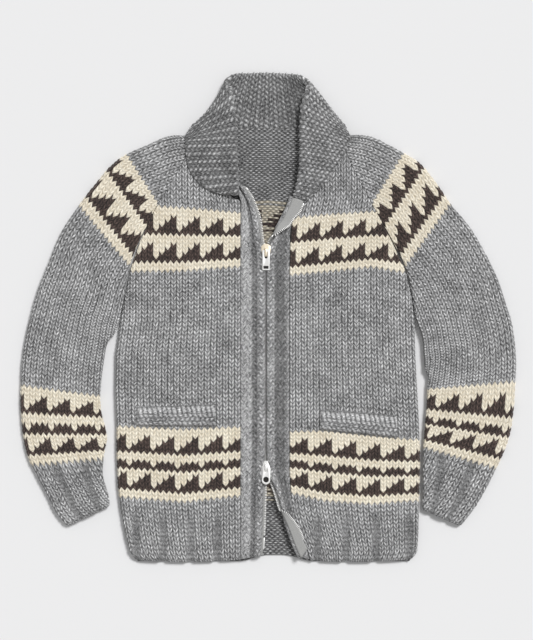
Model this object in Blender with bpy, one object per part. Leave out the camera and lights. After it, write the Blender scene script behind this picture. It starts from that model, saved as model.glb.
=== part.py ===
"""Chunky hand-knit cardigan with a shawl collar and a two-way metal zip, laid out flat on its back.

The garment lies on the floor plane z = 0 with its collar towards +Y, and the origin is under its middle.
Every length below is in millimetres, and MM turns it into metres where a mesh is made.
Each cloth piece is one closed wall, worked out from a table that has a row for each section of the piece.
"""

import math

import bmesh
import bpy
import numpy as np

MM = 0.001

# Cloth and how it stacks
WALL = 5.0            # thickness of the knit cloth
FLAT_TOP = 12.0       # top of the front where it lies on the back
NECK_TOP = 17.0       # top of the front where the back of the collar lies under it
NECK_FLOOR = 6.0      # underside of the back where the back of the collar lies under it
SEAM = 0.18           # half of the gap between two pieces at a seam
COLLAR_SEAM = 2.2     # gap between the collar and the fronts, hidden under the collar
BAND_FLARE_SEAM = 0.9  # gap between the right band and its front, which follows a bent seam
COLLAR_LIFT = 3.8     # middle of the collar's fall above the cloth that it lies on
COLLAR_ROLL = 3.2     # radius of the collar's roll
BAND_ROLL = 3.2       # radius of a front band's turned-back edge
BAND_LIFT = 2.0       # rise of the front bands over the zip
SLEEVE_CROWN = 2.0    # rise of a sleeve's top along its middle
RIB_DEPTH = 2.0       # depth of the grooves between the hem's and cuffs' ribs

# Raglan seams from the neck down to the underarm, and the top of each side below it.
# round: how far the panel's edge has turned down towards the side seam, from 0 to 1
RAGLAN_COLUMNS = ("y", "left_x", "right_x", "round")
RAGLAN = (
    (301, -105.0, 105.0, 0.0),
    (288, -116.0, 115.0, 0.0),
    (260, -132.0, 127.5, 0.0),
    (233, -147.0, 139.0, 0.0),
    (207, -162.0, 154.0, 0.0),
    (184, -177.0, 166.0, 0.0),
    (157, -190.5, 181.0, 0.08),
    (123, -207.0, 199.0, 0.35),
    (82, -221.5, 219.0, 0.8),
    (40, -230.0, 229.5, 1.0),
    (0, -237.0, 234.5, 1.0),
)

# Sides of the body from below the underarm to the hem: y, left_x, right_x
SIDE = (
    (-55, -245.0, 236.0),
    (-110, -246.0, 239.0),
    (-165, -244.0, 242.0),
    (-215, -244.0, 244.0),
    (-264, -242.0, 243.0),
    (-300, -238.0, 242.0),
    (-318, -235.0, 241.5),
    (-345, -230.0, 241.0),
    (-372, -223.0, 239.0),
    (-391, -209.0, 226.0),
)

# Outer edge of each sleeve, with the point on the raglan or on the inner edge across from it
SLEEVE_TOP_COLUMNS = ("raglan_row", "left_x", "left_y", "right_x", "right_y")
SLEEVE_TOP = (
    (0, -114, 295.5, 114, 295.5),
    (1, -129, 288, 129, 289),
    (2, -149, 290, 147, 290),
    (3, -169, 287, 166, 287),
    (4, -197, 274, 191, 276),
    (5, -226, 260, 215, 260),
    (6, -250, 242, 241, 247),
    (7, -277, 212, 268, 216),
    (8, -304, 180, 293, 184),
    (9, -333, 138, 323, 148),
    (10, -354, 87, 345, 111),
)
SLEEVE_COLUMNS = ("outer_x", "outer_y", "inner_x", "inner_y")
SLEEVE_LEFT = (
    (-368, 53, -243, -20),
    (-380, 12, -256, -38),
    (-390, -32, -261, -62),
    (-395, -69, -265, -91),
    (-397, -109, -268, -126),
    (-397, -145, -265, -153),
    (-393, -187, -257, -187),
    (-385, -221, -261, -212),
    (-368, -257, -264, -246),
    (-355, -281, -259, -267),
    (-342, -308, -254, -284),
    (-323, -332, -253, -299),
)
SLEEVE_RIGHT = (
    (366, 69, 239, -36),
    (380, 28, 242, -59),
    (391, -10, 246, -76),
    (397, -60, 254, -92),
    (396, -100, 253, -112),
    (393, -146, 252, -136),
    (387, -184, 250, -164),
    (376, -216, 248, -187),
    (360, -250, 246.5, -215),
    (345, -279, 246, -247),
    (328, -306, 246, -276),
    (308, -332, 245, -305),
)

# Collar, from its left tip round the back of the neck to its right tip.
# Each row gives the neck seam, the roll and the outer edge, and the way the fall faces:
# 90 on top of the fronts, 0 on edge at a shoulder, -90 under the back.
# Columns: neck_x, neck_y, roll_x, roll_y, edge_x, edge_y, facing
COLLAR = (
    (-57, 197, -51, 198, -71, 198, 90),
    (-64, 213, -51, 213, -99, 208, 90),
    (-71, 231, -52, 231, -121, 229, 90),
    (-80, 256, -53, 256, -131, 255, 90),
    (-92, 284, -54, 286, -133, 283, 90),
    (-100, 300, -56, 320, -132.5, 291, 80),
    (-104, 304.5, -61, 356, -131, 297.5, 45),
    (-105, 306, -69, 376, -128, 301, 0),
    (-101, 306, -56, 384, -123, 296, -45),
    (-84, 304.5, -30, 385.5, -101, 287, -90),
    (0, 303, 0, 386, 0, 286, -90),
    (84, 304.5, 32, 385.5, 100, 287, -90),
    (101, 306, 56, 384, 123, 296, -45),
    (105, 306, 70, 377, 128, 301, 0),
    (104, 304.5, 60, 357, 131, 298, 45),
    (100, 300, 54, 322, 131.5, 290, 80),
    (93, 284, 54, 287, 124, 271, 90),
    (81, 256, 54, 255, 111, 245, 90),
    (70, 232, 51, 227, 92, 219, 90),
    (61, 214, 47, 208, 74, 201, 90),
    (53, 200, 42, 195, 58, 186, 90),
)

# Front bands from top to bottom: the seam to the front, where a turned edge folds, and the zip edge.
# turn: how far the edge is folded back over the front, from 0 to 1
# Columns: seam_x, seam_y, fold_x, fold_y, edge_x, edge_y, turn
BAND_LEFT = (
    (-44, 190, -41, 190, -27, 191, 0),
    (-44, 172, -38, 172, -20, 173, 0),
    (-44, 156, -34, 156, -15.5, 157, 0),
    (-44, 138, -32, 138, -13.5, 139, 0),
    (-44, 121, -31, 121, -10.5, 121, 0),
    (-44, 108, -28, 108, -5.8, 108, 0),
    (-44, 79, -25, 79, -5.3, 79, 0),
    (-44, 5, -25, 5, -5.3, 5, 0),
    (-44, -70, -25, -70, -5.3, -70, 0),
    (-44, -145, -25, -145, -5.3, -145, 0),
    (-44, -215, -25, -215, -5.3, -215, 0),
    (-44, -244, -25, -244, -5.4, -244, 0),
    (-44, -262, -25, -262, -7.2, -262, 0),
    (-44, -289, -25, -289, -8.0, -289, 0),
    (-44, -316, -26, -316, -8.6, -316, 0),
    (-44, -350, -26, -350, -9.0, -350, 0),
    (-44, -381, -26, -381, -9.8, -381, 0),
)
BAND_RIGHT = (
    (43, 189, 39, 189, 50, 173, 1),
    (40, 175, 32, 175, 39, 163, 1),
    (37, 159, 25, 159, 30, 152, 1),
    (35.5, 143, 21, 143, 19, 140.5, 0.6),
    (34.5, 131, 21.5, 131, 7, 130, 0.2),
    (34, 121, 18, 121, 2.5, 121, 0),
    (33.5, 108, 17, 108, -1.9, 108, 0),
    (33, 79, 17, 79, -2.4, 79, 0),
    (33, 5, 17, 5, -2.4, 5, 0),
    (33, -70, 17, -70, -2.4, -70, 0),
    (33, -145, 17, -145, -2.4, -145, 0),
    (33, -215, 17, -215, -2.4, -215, 0),
    (33, -244, 17, -244, -2.3, -244, 0),
    (34, -262, 17, -262, -0.4, -262, 0),
    (35, -276, 19.5, -276, 4, -275, 0.25),
    (36, -291, 21, -291, 20, -288, 0.7),
    (39, -308, 26, -308, 27, -302, 1),
    (44, -326, 31, -326, 35, -317, 1),
    (50, -342, 37, -342, 43, -331, 1),
    (55, -355, 43, -355, 51, -343, 1),
    (61, -368, 50, -368, 56, -356, 1),
    (65, -381, 54, -381, 60, -369, 1),
)

# Largest soft folds of the laid-out cloth, each a ridge (or a trough, if its height is negative)
# Columns: x0, y0, x1, y1, width, height
FOLDS = (
    (-215, 100, -150, 60, 16, 1.0),
    (-225, 60, -170, -40, 20, -0.8),
    (205, 95, 150, 50, 18, 1.0),
    (215, 40, 165, -60, 22, -0.8),
    (-330, 60, -270, -40, 22, 1.2),
    (-370, -20, -285, -110, 20, -1.0),
    (325, 40, 270, -60, 22, 1.2),
    (375, -30, 280, -120, 22, -0.9),
    (-130, -60, -90, -120, 30, 0.7),
    (110, 20, 150, -100, 28, 0.7),
)

# Ribs and pocket welts
HEM_RIB_TOP = -317.0
HEM_Y = -391.0                     # lowest row of the body
HEM_RISE = 7.5                     # the hem is this much higher at the bands and at the sides
FRONT_SPAN_LEFT = (-236.0, -44.0)  # side and band edge, between which a front's columns are shared out
FRONT_SPAN_RIGHT = (243.0, 42.0)
NECK_ROW = 195.0                   # an extra row where the collar begins
COLLAR_START = 190.0               # above this the fronts meet the collar, and below it the bands
HEM_GROOVES_LEFT = (-212.0, -169.0, -125.0, -82.0)
HEM_GROOVES_RIGHT = (78.0, 124.0, 172.0, 225.0)
GROOVE_HALF = 9.0
GROOVE_SIDE = 3.5
CUFF_ROWS = 4                      # sections of a sleeve that its ribbed cuff takes up
CUFF_GROOVES = (0.30, 0.72)        # across the sleeve's top, from its inner edge
CUFF_GROOVE_HALF = 0.075
# Welts: inner_x, inner_top, inner_bottom, outer_x, outer_top, outer_bottom
WELT_LEFT = (-84.0, -135.5, -172.0, -211.0, -140.5, -171.0)
WELT_RIGHT = (82.0, -145.0, -177.0, 206.0, -153.5, -190.0)
WELT_RISE = 4.5

# Zip: tape, chain and the two sliders with their pulls
TAPE = 0.8
TAPE_GAP = 0.6                     # between the tape and the band that it is sewn to
CHAIN_OUT = 1.0                    # how far the chain stands out past the band's edge
CHAIN_IN = 1.5
CHAIN_BOTTOM = 4.9                 # its depth below the middle of the band
ZIP_X = -3.85
PLATE_LOW = (5.3, 6.1)             # heights of a slider's lower and upper plates
PLATE_HIGH = (14.35, 15.5)
BAIL_WIDTH = 3.2
BAIL_WALL = 1.4
BAIL_CLEAR = 0.9                   # room over the pull's bar under the bail
HINGE_Z = 17.7
PULL_THICK = 2.2
TOP_HINGE_Y = 109.5
TOP_BAIL = (114.5, 100.0)          # upper and lower legs of the top slider's bail
TOP_PULL = (11.5, 31.0)            # width, and length below the hinge
TOP_EYE = (5.2, 12.4)              # width, and distance of the eye's far end from the hinge
TOP_RECESS = (8.0, 4.6, 26.5)      # width, height and distance of the plain slot from the hinge
BOTTOM_HINGE_Y = -236.5
BOTTOM_BAIL = (-231.0, -241.5)
BOTTOM_PULL = (13.6, 27.0)
BOTTOM_EYE = (5.2, 8.0)
BOTTOM_HOLE = (4.6, 19.4)          # radius, and distance from the hinge
TOP_TILT = math.radians(3.6)

GREY = (0.205, 0.207, 0.215)
METAL = (0.74, 0.73, 0.70)
TAPE_GREY = (0.40, 0.40, 0.39)


def column(table, names, name):
    """One named column of a table, as an array."""
    return np.array([row[names.index(name)] for row in table], dtype=float)


def points(table, names, first, second):
    """Two named columns of a table, as an array of plan points."""
    return np.stack([column(table, names, first), column(table, names, second)], axis=1)


def smooth(value, low, high):
    """A ramp from 0 at low to 1 at high, level at both ends."""
    part = np.clip((np.asarray(value, dtype=float) - low) / (high - low), 0.0, 1.0)
    return part * part * (3.0 - 2.0 * part)


def neck_rise(x, y):
    """1 where the back of the collar lies under the garment, falling to 0 further down."""
    reach = (x / 150.0) ** 2 + ((y - 345.0) / 75.0) ** 2
    return 1.0 - smooth(reach, 1.3, 2.5)


def folds(x, y):
    """Height of the soft folds: each is a bell across its line, fading at its two ends."""
    total = np.zeros(np.shape(x))
    for x0, y0, x1, y1, width, height in FOLDS:
        length = math.hypot(x1 - x0, y1 - y0)
        along = ((x - x0) * (x1 - x0) + (y - y0) * (y1 - y0)) / length
        across = ((x - x0) * (y1 - y0) - (y - y0) * (x1 - x0)) / length
        ends = smooth(along, 0.0, 0.3 * length) * (1.0 - smooth(along, 0.7 * length, length))
        total = total + height * ends * np.exp(-(across / width) ** 2)
    return total


def top_height(x, y):
    """Top of the fronts and sleeves over a plan point."""
    return FLAT_TOP + (NECK_TOP - FLAT_TOP) * neck_rise(x, y) + folds(x, y)


def under_height(x, y):
    """Underside of the back and sleeves over a plan point."""
    return NECK_FLOOR * neck_rise(x, y)


def catmull_rom(rows, steps):
    """Rows interpolated smoothly, with the given number of steps from each row to the next."""
    padded = np.vstack([2.0 * rows[0] - rows[1], rows, 2.0 * rows[-1] - rows[-2]])
    result = []
    for index in range(len(rows) - 1):
        before, start, end, after = padded[index:index + 4]
        for part in np.arange(steps[index]) / steps[index]:
            square = part * part
            cube = square * part
            result.append(0.5 * (2.0 * start + (end - before) * part
                                 + (2.0 * before - 5.0 * start + 4.0 * end - after) * square
                                 + (3.0 * start - before - 3.0 * end + after) * cube))
    result.append(rows[-1])
    return np.array(result)


def material(name, colour, roughness, metallic):
    """A plain Principled material."""
    result = bpy.data.materials.new(name)
    result.use_nodes = True
    shader = result.node_tree.nodes["Principled BSDF"]
    shader.inputs["Base Color"].default_value = (*colour, 1.0)
    shader.inputs["Roughness"].default_value = roughness
    shader.inputs["Metallic"].default_value = metallic
    return result


def add_object(name, vertices, faces, finish, origin=(0.0, 0.0, 0.0)):
    """A mesh object from points in millimetres, with its origin at the given point."""
    mesh = bpy.data.meshes.new(name)
    placed = (np.asarray(vertices, dtype=float) - np.array(origin)) * MM
    mesh.from_pydata([tuple(point) for point in placed], [], faces)
    form = bmesh.new()
    form.from_mesh(mesh)
    bmesh.ops.recalc_face_normals(form, faces=form.faces)
    form.to_mesh(mesh)
    form.free()
    mesh.materials.append(finish)
    result = bpy.data.objects.new(name, mesh)
    result.location = [value * MM for value in origin]
    bpy.context.scene.collection.objects.link(result)
    return result


def halves(index, row, col, after):
    """The two triangles of a grid's cell, always cut along the same diagonal so that layers stay parallel."""
    return ((index[row, col], index[row, after], index[row + 1, after]),
            (index[row, col], index[row + 1, after], index[row + 1, col]))


def wall(name, outer, inner, finish, first_ring=None):
    """A closed wall between two grids of points. From row first_ring on, its sections are closed rings."""
    rows, columns = outer.shape[:2]
    outer_index = np.arange(rows * columns).reshape(rows, columns)
    if first_ring is not None:
        outer_index[first_ring:, -1] = outer_index[first_ring:, 0]
    inner_index = outer_index + rows * columns
    faces = []
    for row in range(rows - 1):
        for col in range(columns - 1):
            for face in halves(outer_index, row, col, col + 1):
                faces.append(face)
                faces.append(tuple(index + rows * columns for index in reversed(face)))
        if first_ring is None or row < first_ring:
            for col in (0, columns - 1):
                faces.append((outer_index[row, col], outer_index[row + 1, col],
                              inner_index[row + 1, col], inner_index[row, col]))
    for row in (0, rows - 1):
        for col in range(columns - 1):
            faces.append((outer_index[row, col], outer_index[row, col + 1],
                          inner_index[row, col + 1], inner_index[row, col]))
    vertices = np.vstack([outer.reshape(-1, 3), inner.reshape(-1, 3)])
    used = sorted({int(index) for face in faces for index in face})
    place = {old: new for new, old in enumerate(used)}
    compact = [tuple(place[int(index)] for index in face) for face in faces]
    return add_object(name, vertices[used], compact, finish)


def edge_profile(distance, radius, turned):
    """Inset, drop and lean of a panel's rounded edge at a distance along it from the edge's end."""
    full = turned * (math.pi / 2.0)
    lean = np.maximum(full - distance / radius, 0.0)
    flat = np.maximum(distance - radius * full, 0.0)
    inset = radius * (math.sin(full) - np.sin(lean)) + flat
    drop = radius * (1.0 - np.cos(lean))
    return inset, drop, lean


def panel_rows():
    """Heights and edges of the body's rows from the hem to the neck."""
    rows = [(y, left, right, 1.0) for y, left, right in reversed(SIDE)]
    rows += [tuple(row) for row in reversed(RAGLAN)]
    rows += [(NECK_ROW, *raglan_at(NECK_ROW), 0.0)]
    return sorted(rows)


def raglan_at(y):
    """Left and right raglan seams at a height."""
    heights = column(RAGLAN, RAGLAN_COLUMNS, "y")[::-1]
    left = np.interp(y, heights, column(RAGLAN, RAGLAN_COLUMNS, "left_x")[::-1])
    right = np.interp(y, heights, column(RAGLAN, RAGLAN_COLUMNS, "right_x")[::-1])
    return float(left), float(right)


def groove_columns(grooves, edge, seam):
    """Places across a front where its columns run, as fractions from its side to its band."""
    span = abs(seam - edge)
    places = [0.0, 3.1 / span, 6.3 / span, 9.6 / span]
    for centre in grooves:
        for offset in (-GROOVE_HALF, -GROOVE_HALF + GROOVE_SIDE, GROOVE_HALF - GROOVE_SIDE, GROOVE_HALF):
            place = abs(centre + offset - edge) / span
            if place > 11.5 / span:
                places.append(place)
    places.append(1.0)
    return np.array(sorted(places))


def hem_line(x):
    """The hem's height: it dips under the middle of each front and rises to the bands and the sides."""
    across = np.clip((np.abs(x) - 30.0) / 210.0, 0.0, 1.0)
    return HEM_Y + HEM_RISE * (1.0 - np.sin(np.pi * across) ** 0.7)


def build_front(name, left_side, neck_x, finish):
    """A front: rows from the hem up, each from the side or raglan seam to the band or neck seam."""
    sign = 1.0 if left_side else -1.0
    grooves = HEM_GROOVES_LEFT if left_side else HEM_GROOVES_RIGHT
    table = [(y, left if left_side else right, turned) for y, left, right, turned in panel_rows()]
    places = groove_columns(grooves, *(FRONT_SPAN_LEFT if left_side else FRONT_SPAN_RIGHT))
    outer = []
    inner = []
    for y, edge_x, turned in table:
        start = edge_x + sign * SEAM
        weight = float(smooth(y, HEM_RIB_TOP, HEM_Y))
        end = neck_x(y + weight * (float(hem_line(neck_x(y))) - HEM_Y))
        level = (top_height(start, y) - under_height(start, y)) / 2.0
        turned = turned * (1.0 - 2.0 * SEAM / (math.pi / 2.0 * level))
        arc = level * turned * math.pi / 2.0
        length = abs(end - start) - level * math.sin(turned * math.pi / 2.0) + arc
        inset, drop, lean = edge_profile(places * length, level, turned)
        x = start + sign * inset
        rows_y = y + weight * (hem_line(x) - HEM_Y)
        base = np.stack([x, rows_y, top_height(x, rows_y) - drop], axis=1)
        point = base.copy()
        if y < HEM_RIB_TOP - 1.0:
            for centre in grooves:
                inside = 1.0 - smooth(np.abs(x - centre), GROOVE_HALF - GROOVE_SIDE, GROOVE_HALF - 0.5)
                point[:, 2] -= RIB_DEPTH * inside * (drop < 0.5)
        normal = np.stack([-sign * np.sin(lean), np.zeros(x.shape), np.cos(lean)], axis=1)
        outer.append(point)
        inner.append(base - normal * WALL)
    return wall(name, np.array(outer), np.array(inner), finish)


def build_back(finish):
    """The back: rows from the hem up to the neck, lying on the floor, its two side edges turned up."""
    places = np.array([0.0, 0.007, 0.014, 0.021, 0.1, 0.2, 0.3, 0.4, 0.5])
    outer = []
    inner = []
    for y, left, right, turned in panel_rows():
        middle = (left + right) / 2.0
        sides = []
        for sign, start in ((1.0, left + SEAM), (-1.0, right - SEAM)):
            level = (top_height(start, y) - under_height(start, y)) / 2.0
            part = turned * (1.0 - 2.0 * SEAM / (math.pi / 2.0 * level))
            arc = level * part * math.pi / 2.0
            length = abs(middle - start) - level * math.sin(part * math.pi / 2.0) + arc
            inset, drop, lean = edge_profile(2.0 * places * length, level, part)
            x = start + sign * inset
            weight = float(smooth(y, HEM_RIB_TOP, HEM_Y))
            rows_y = y + weight * HEM_RISE * smooth(np.abs(x), 100.0, 0.0)
            z = under_height(x, rows_y) + drop
            normal = np.stack([-sign * np.sin(lean), np.zeros(x.shape), -np.cos(lean)], axis=1)
            point = np.stack([x, rows_y, z], axis=1)
            sides.append((point, point - normal * WALL))
        outer.append(np.vstack([sides[0][0], sides[1][0][-2::-1]]))
        inner.append(np.vstack([sides[0][1], sides[1][1][-2::-1]]))
    return wall("back", np.array(outer), np.array(inner), finish)


def sleeve_table(left_side):
    """Outer points, inner points and roundness of a sleeve's sections, from the neck to the cuff."""
    side = "left" if left_side else "right"
    raglan = points(RAGLAN, RAGLAN_COLUMNS, side + "_x", "y")
    turned = column(RAGLAN, RAGLAN_COLUMNS, "round")
    chosen = column(SLEEVE_TOP, SLEEVE_TOP_COLUMNS, "raglan_row").astype(int)
    outer_top = points(SLEEVE_TOP, SLEEVE_TOP_COLUMNS, side + "_x", side + "_y")
    lower = SLEEVE_LEFT if left_side else SLEEVE_RIGHT
    outer_low = points(lower, SLEEVE_COLUMNS, "outer_x", "outer_y")
    inner_low = points(lower, SLEEVE_COLUMNS, "inner_x", "inner_y")
    outer = np.vstack([outer_top, outer_low])
    inner = np.vstack([raglan[chosen], inner_low])
    return outer, inner, np.concatenate([turned[chosen], np.ones(len(lower))])


def build_sleeve(name, left_side, finish):
    """A sleeve: sections that open on the raglan seams above the underarm, and closed rings below it."""
    outer_edge, inner_edge, turned = sleeve_table(left_side)
    away = -1.0 if left_side else 1.0
    top_places = np.array([0.0, 0.025, 0.05, 0.078, 0.16, 0.225, 0.26, 0.34, 0.375,
                           0.5, 0.645, 0.68, 0.76, 0.795, 0.9, 1.0])
    under_places = np.array([1.0, 0.8, 0.5, 0.2, 0.078, 0.05, 0.025, 0.0])
    round_places = np.radians([60.0, 30.0, 0.0, -30.0, -60.0])
    outer = []
    inner = []
    for row, (far, near, part) in enumerate(zip(outer_edge, inner_edge, turned)):
        near = near + np.array([away * SEAM, 0.0])
        if row > 10:
            near = near + np.array([away * 0.5, 0.0])
        reach = float(np.linalg.norm(far - near))
        across = (far - near) / reach
        top = float(top_height(*far))
        bottom = float(under_height(*far))
        level = (top - bottom) / 2.0
        arc = level * part * math.pi / 2.0
        length = reach - level - level * math.sin(part * math.pi / 2.0) + arc
        line = []
        shell = []
        inset, drop, lean = edge_profile(top_places * length, level, part)
        plan = near + inset[:, None] * across
        crown = SLEEVE_CROWN * np.sin(np.pi * top_places) ** 2 * (0.0 if row < 2 else 1.0)
        base = np.column_stack([plan, top_height(plan[:, 0], plan[:, 1]) - drop])
        if part >= 1.0:
            base[0, 2] = (base[0, 2] + under_height(*plan[0]) + level) / 2.0
        ribbed = smooth(row, len(turned) - CUFF_ROWS - 1, len(turned) - CUFF_ROWS)
        groove = np.zeros(len(top_places))
        for centre in CUFF_GROOVES:
            groove += 1.0 - smooth(np.abs(top_places - centre), CUFF_GROOVE_HALF * 0.55, CUFF_GROOVE_HALF)
        raised = base.copy()
        raised[:, 2] += crown - RIB_DEPTH * groove * ribbed
        normal = np.column_stack([-np.sin(lean)[:, None] * across, np.cos(lean)])
        line.append(raised)
        shell.append(base - normal * WALL)
        centre = far - across * level
        turn_plan = centre + np.cos(round_places)[:, None] * across * level
        middle = (top + bottom) / 2.0
        arc_line = np.column_stack([turn_plan, middle + level * np.sin(round_places)])
        arc_normal = np.column_stack([np.cos(round_places)[:, None] * across, np.sin(round_places)])
        line.append(arc_line)
        shell.append(arc_line - arc_normal * WALL)
        inset, drop, lean = edge_profile(under_places * length, level, part)
        plan = near + inset[:, None] * across
        base = np.column_stack([plan, under_height(plan[:, 0], plan[:, 1]) + drop])
        normal = np.column_stack([-np.sin(lean)[:, None] * across, -np.cos(lean)])
        line.append(base)
        shell.append(base - normal * WALL)
        outer.append(np.vstack(line))
        inner.append(np.vstack(shell))
    first_ring = int(np.argmax(turned >= 1.0))
    return wall(name, np.array(outer), np.array(inner), finish, first_ring)


def grid_normals(grid):
    """Unit normals of a grid of points, from the steps along its rows and columns."""
    along = np.gradient(grid, axis=0)
    across = np.gradient(grid, axis=1)
    normal = np.cross(across, along)
    return normal / np.linalg.norm(normal, axis=2, keepdims=True)


def collar_surface():
    """Middle surface of the collar: up the stand from the neck seam, round the roll and along the fall."""
    rows = np.array(COLLAR, dtype=float)
    steps = [1, 1, 1, 2, 2, 2, 3, 3, 2, 2, 2, 2, 3, 3, 2, 2, 2, 1, 1, 1]
    rows = catmull_rom(rows, steps)
    neck = rows[:, 0:2]
    roll = rows[:, 2:4]
    edge = rows[:, 4:6]
    facing = np.radians(np.clip(rows[:, 6], -90.0, 90.0))
    front = (0.5 + 0.5 * np.sin(facing))[:, None]
    up = roll - neck
    up = up / np.linalg.norm(up, axis=1, keepdims=True)
    side = np.sign(roll[:, :1]) * np.cos(facing)[:, None]
    outward = np.column_stack([side[:, 0] * np.abs(up[:, 1]), side[:, 0] * -up[:, 0] * np.sign(up[:, 1])])

    def stand_height(plan):
        x, y = plan[..., 0], plan[..., 1]
        return front * (top_height(x, y) - WALL / 2.0) + (1.0 - front) * (under_height(x, y) + WALL / 2.0)

    def fall_height(plan):
        x, y = plan[..., 0], plan[..., 1]
        return front * (top_height(x, y) + COLLAR_LIFT) + (1.0 - front) * (WALL / 2.0)

    stand = neck[:, None] + (roll - neck)[:, None] * np.array([0.0, 0.33, 0.67, 1.0])[None, :, None]
    start_z = stand_height(roll[:, None])
    gap = 2.0 * COLLAR_ROLL * outward[:, None]
    fall_start = roll[:, None] + gap
    rise = fall_height(fall_start) - start_z
    angles = np.radians([45.0, 90.0, 135.0])[None, :, None]
    bend = roll[:, None] + up[:, None] * COLLAR_ROLL * np.sin(angles) + gap * (1.0 - np.cos(angles)) / 2.0
    bend_z = start_z + rise * (1.0 - np.cos(angles[..., 0])) / 2.0
    fall = fall_start + (edge[:, None] - fall_start) * np.array([0.0, 0.25, 0.5, 0.75, 1.0])[None, :, None]
    plan = np.concatenate([stand, bend, fall], axis=1)
    heights = np.concatenate([stand_height(stand), bend_z, fall_height(fall)], axis=1)
    return np.concatenate([plan, heights[..., None]], axis=2)


def band_surface(table):
    """Middle surface of a front band: flat from its seam, then turned over by each row's share of a half turn."""
    rows = np.array(table, dtype=float)
    steps = [4 if abs(before[6] - after[6]) > 0.1 else 1 for before, after in zip(table, table[1:])]
    rows = catmull_rom(rows, steps)
    rows[:, 6] = np.clip(rows[:, 6], 0.0, 1.0)
    seam = rows[:, 0:2]
    fold = rows[:, 2:4]
    edge = rows[:, 4:6]
    turn = np.maximum(rows[:, 6], 0.001) * math.pi
    out = fold - seam
    out = out / np.linalg.norm(out, axis=1, keepdims=True)
    arc = math.pi * BAND_ROLL
    radius = (arc / turn)[:, None]
    parts = np.array([0.25, 0.5, 0.75, 1.0])[None, :]
    swing = turn[:, None] * parts
    bend = fold[:, None] + out[:, None] * (radius * np.sin(swing))[..., None]
    bend_z = radius * (1.0 - np.cos(swing))
    flat = seam[:, None] + (fold - seam)[:, None] * np.array([0.0, 0.5, 1.0])[None, :, None]
    slope = np.sin(turn)[:, None] * np.linalg.norm(edge - bend[:, -1], axis=1)[:, None]
    flap = bend[:, -1:] + (edge - bend[:, -1])[:, None] * np.array([0.5, 1.0])[None, :, None]
    flap_z = bend_z[:, -1:] + 0.3 * slope * np.array([[0.5, 1.0]])
    plan = np.concatenate([flat, bend, flap], axis=1)
    raised = np.concatenate([np.zeros((len(rows), 3)), bend_z, flap_z], axis=1)
    lift = BAND_LIFT * (1.0 - rows[:, 6:7]) * smooth(np.arange(9.0) / 8.0, 0.3, 1.0)[None, :]
    middle = FLAT_TOP - WALL / 2.0
    return np.concatenate([plan, (middle + raised + lift)[..., None]], axis=2)


def build_strip(name, middle, finish):
    """A closed wall on both sides of a middle surface."""
    normal = grid_normals(middle)
    return wall(name, middle + normal * WALL / 2.0, middle - normal * WALL / 2.0, finish)


def build_zip_half(name, middle, finish):
    """Zip tape on the wrong side of a band's turned part, with its half of the chain along the edge."""
    normal = grid_normals(middle)
    if normal[8, 0, 2] < 0.0:
        normal = -normal
    last = middle[:, -1]
    along = last - middle[:, -2]
    along = along / np.linalg.norm(along, axis=1, keepdims=True)
    upper = WALL / 2.0 + TAPE_GAP
    lower = upper + TAPE
    face = normal[:, -1]

    def beyond(distance, depth):
        return (last + along * distance - face * depth)[:, None]

    under = middle - normal * upper
    below = middle - normal * lower
    section = np.concatenate([
        under[:, -3:], beyond(CHAIN_OUT, upper), beyond(CHAIN_OUT, CHAIN_BOTTOM),
        beyond(-CHAIN_IN, CHAIN_BOTTOM), beyond(-CHAIN_IN, lower),
        below[:, -2:-1], below[:, -3:-2]], axis=1)
    rows, size = section.shape[:2]
    index = np.arange(rows * size).reshape(rows, size)
    faces = []
    for row in range(rows - 1):
        for col in range(size):
            faces.extend(halves(index, row, col, (col + 1) % size))
    count = rows * size
    caps = ((0, 1, 7, 8), (1, 2, 6, 7), (2, 3, 4, 5, 6))
    for row in (0, rows - 1):
        for cap in caps:
            faces.append(tuple(int(index[row, col]) for col in cap))
    faces = [tuple(int(value) for value in face) for face in faces]
    return add_object(name, section.reshape(count, 3), faces, finish)


def build_welt(name, sizes, finish):
    """A pocket welt: a strip of the front's own surface, moved out by its thickness."""
    inner_x, inner_top, inner_bottom, outer_x, outer_top, outer_bottom = sizes
    across = np.linspace(0.0, 1.0, 8)[:, None]
    down = np.linspace(0.0, 1.0, 4)[None, :]
    x = outer_x + (inner_x - outer_x) * across + 0.0 * down
    top = outer_top + (inner_top - outer_top) * across
    bottom = outer_bottom + (inner_bottom - outer_bottom) * across
    y = top + (bottom - top) * down
    base = top_height(x, y) + 0.35
    crown = WELT_RISE - 1.2 * (2.0 * down - 1.0) ** 2 + 0.0 * across
    under = np.stack([x, y, base], axis=2)
    over = np.stack([x, y, base + crown], axis=2)
    return wall(name, over, under, finish)


def prism(name, outline, low, high, finish, origin=(0.0, 0.0, 0.0)):
    """An outline in plan carried from one height to another."""
    count = len(outline)
    vertices = [(x, y, low) for x, y in outline] + [(x, y, high) for x, y in outline]
    faces = [tuple(range(count - 1, -1, -1)), tuple(range(count, 2 * count))]
    for index in range(count):
        after = (index + 1) % count
        faces.append((index, after, after + count, index + count))
    return add_object(name, vertices, faces, finish, origin)


def combine(base, other, operation):
    """A Boolean of one solid with another, which is kept as a hidden guide."""
    other.hide_render = True
    other.display_type = "WIRE"
    change = base.modifiers.new(other.name, "BOOLEAN")
    change.operation = operation
    change.object = other


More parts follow.
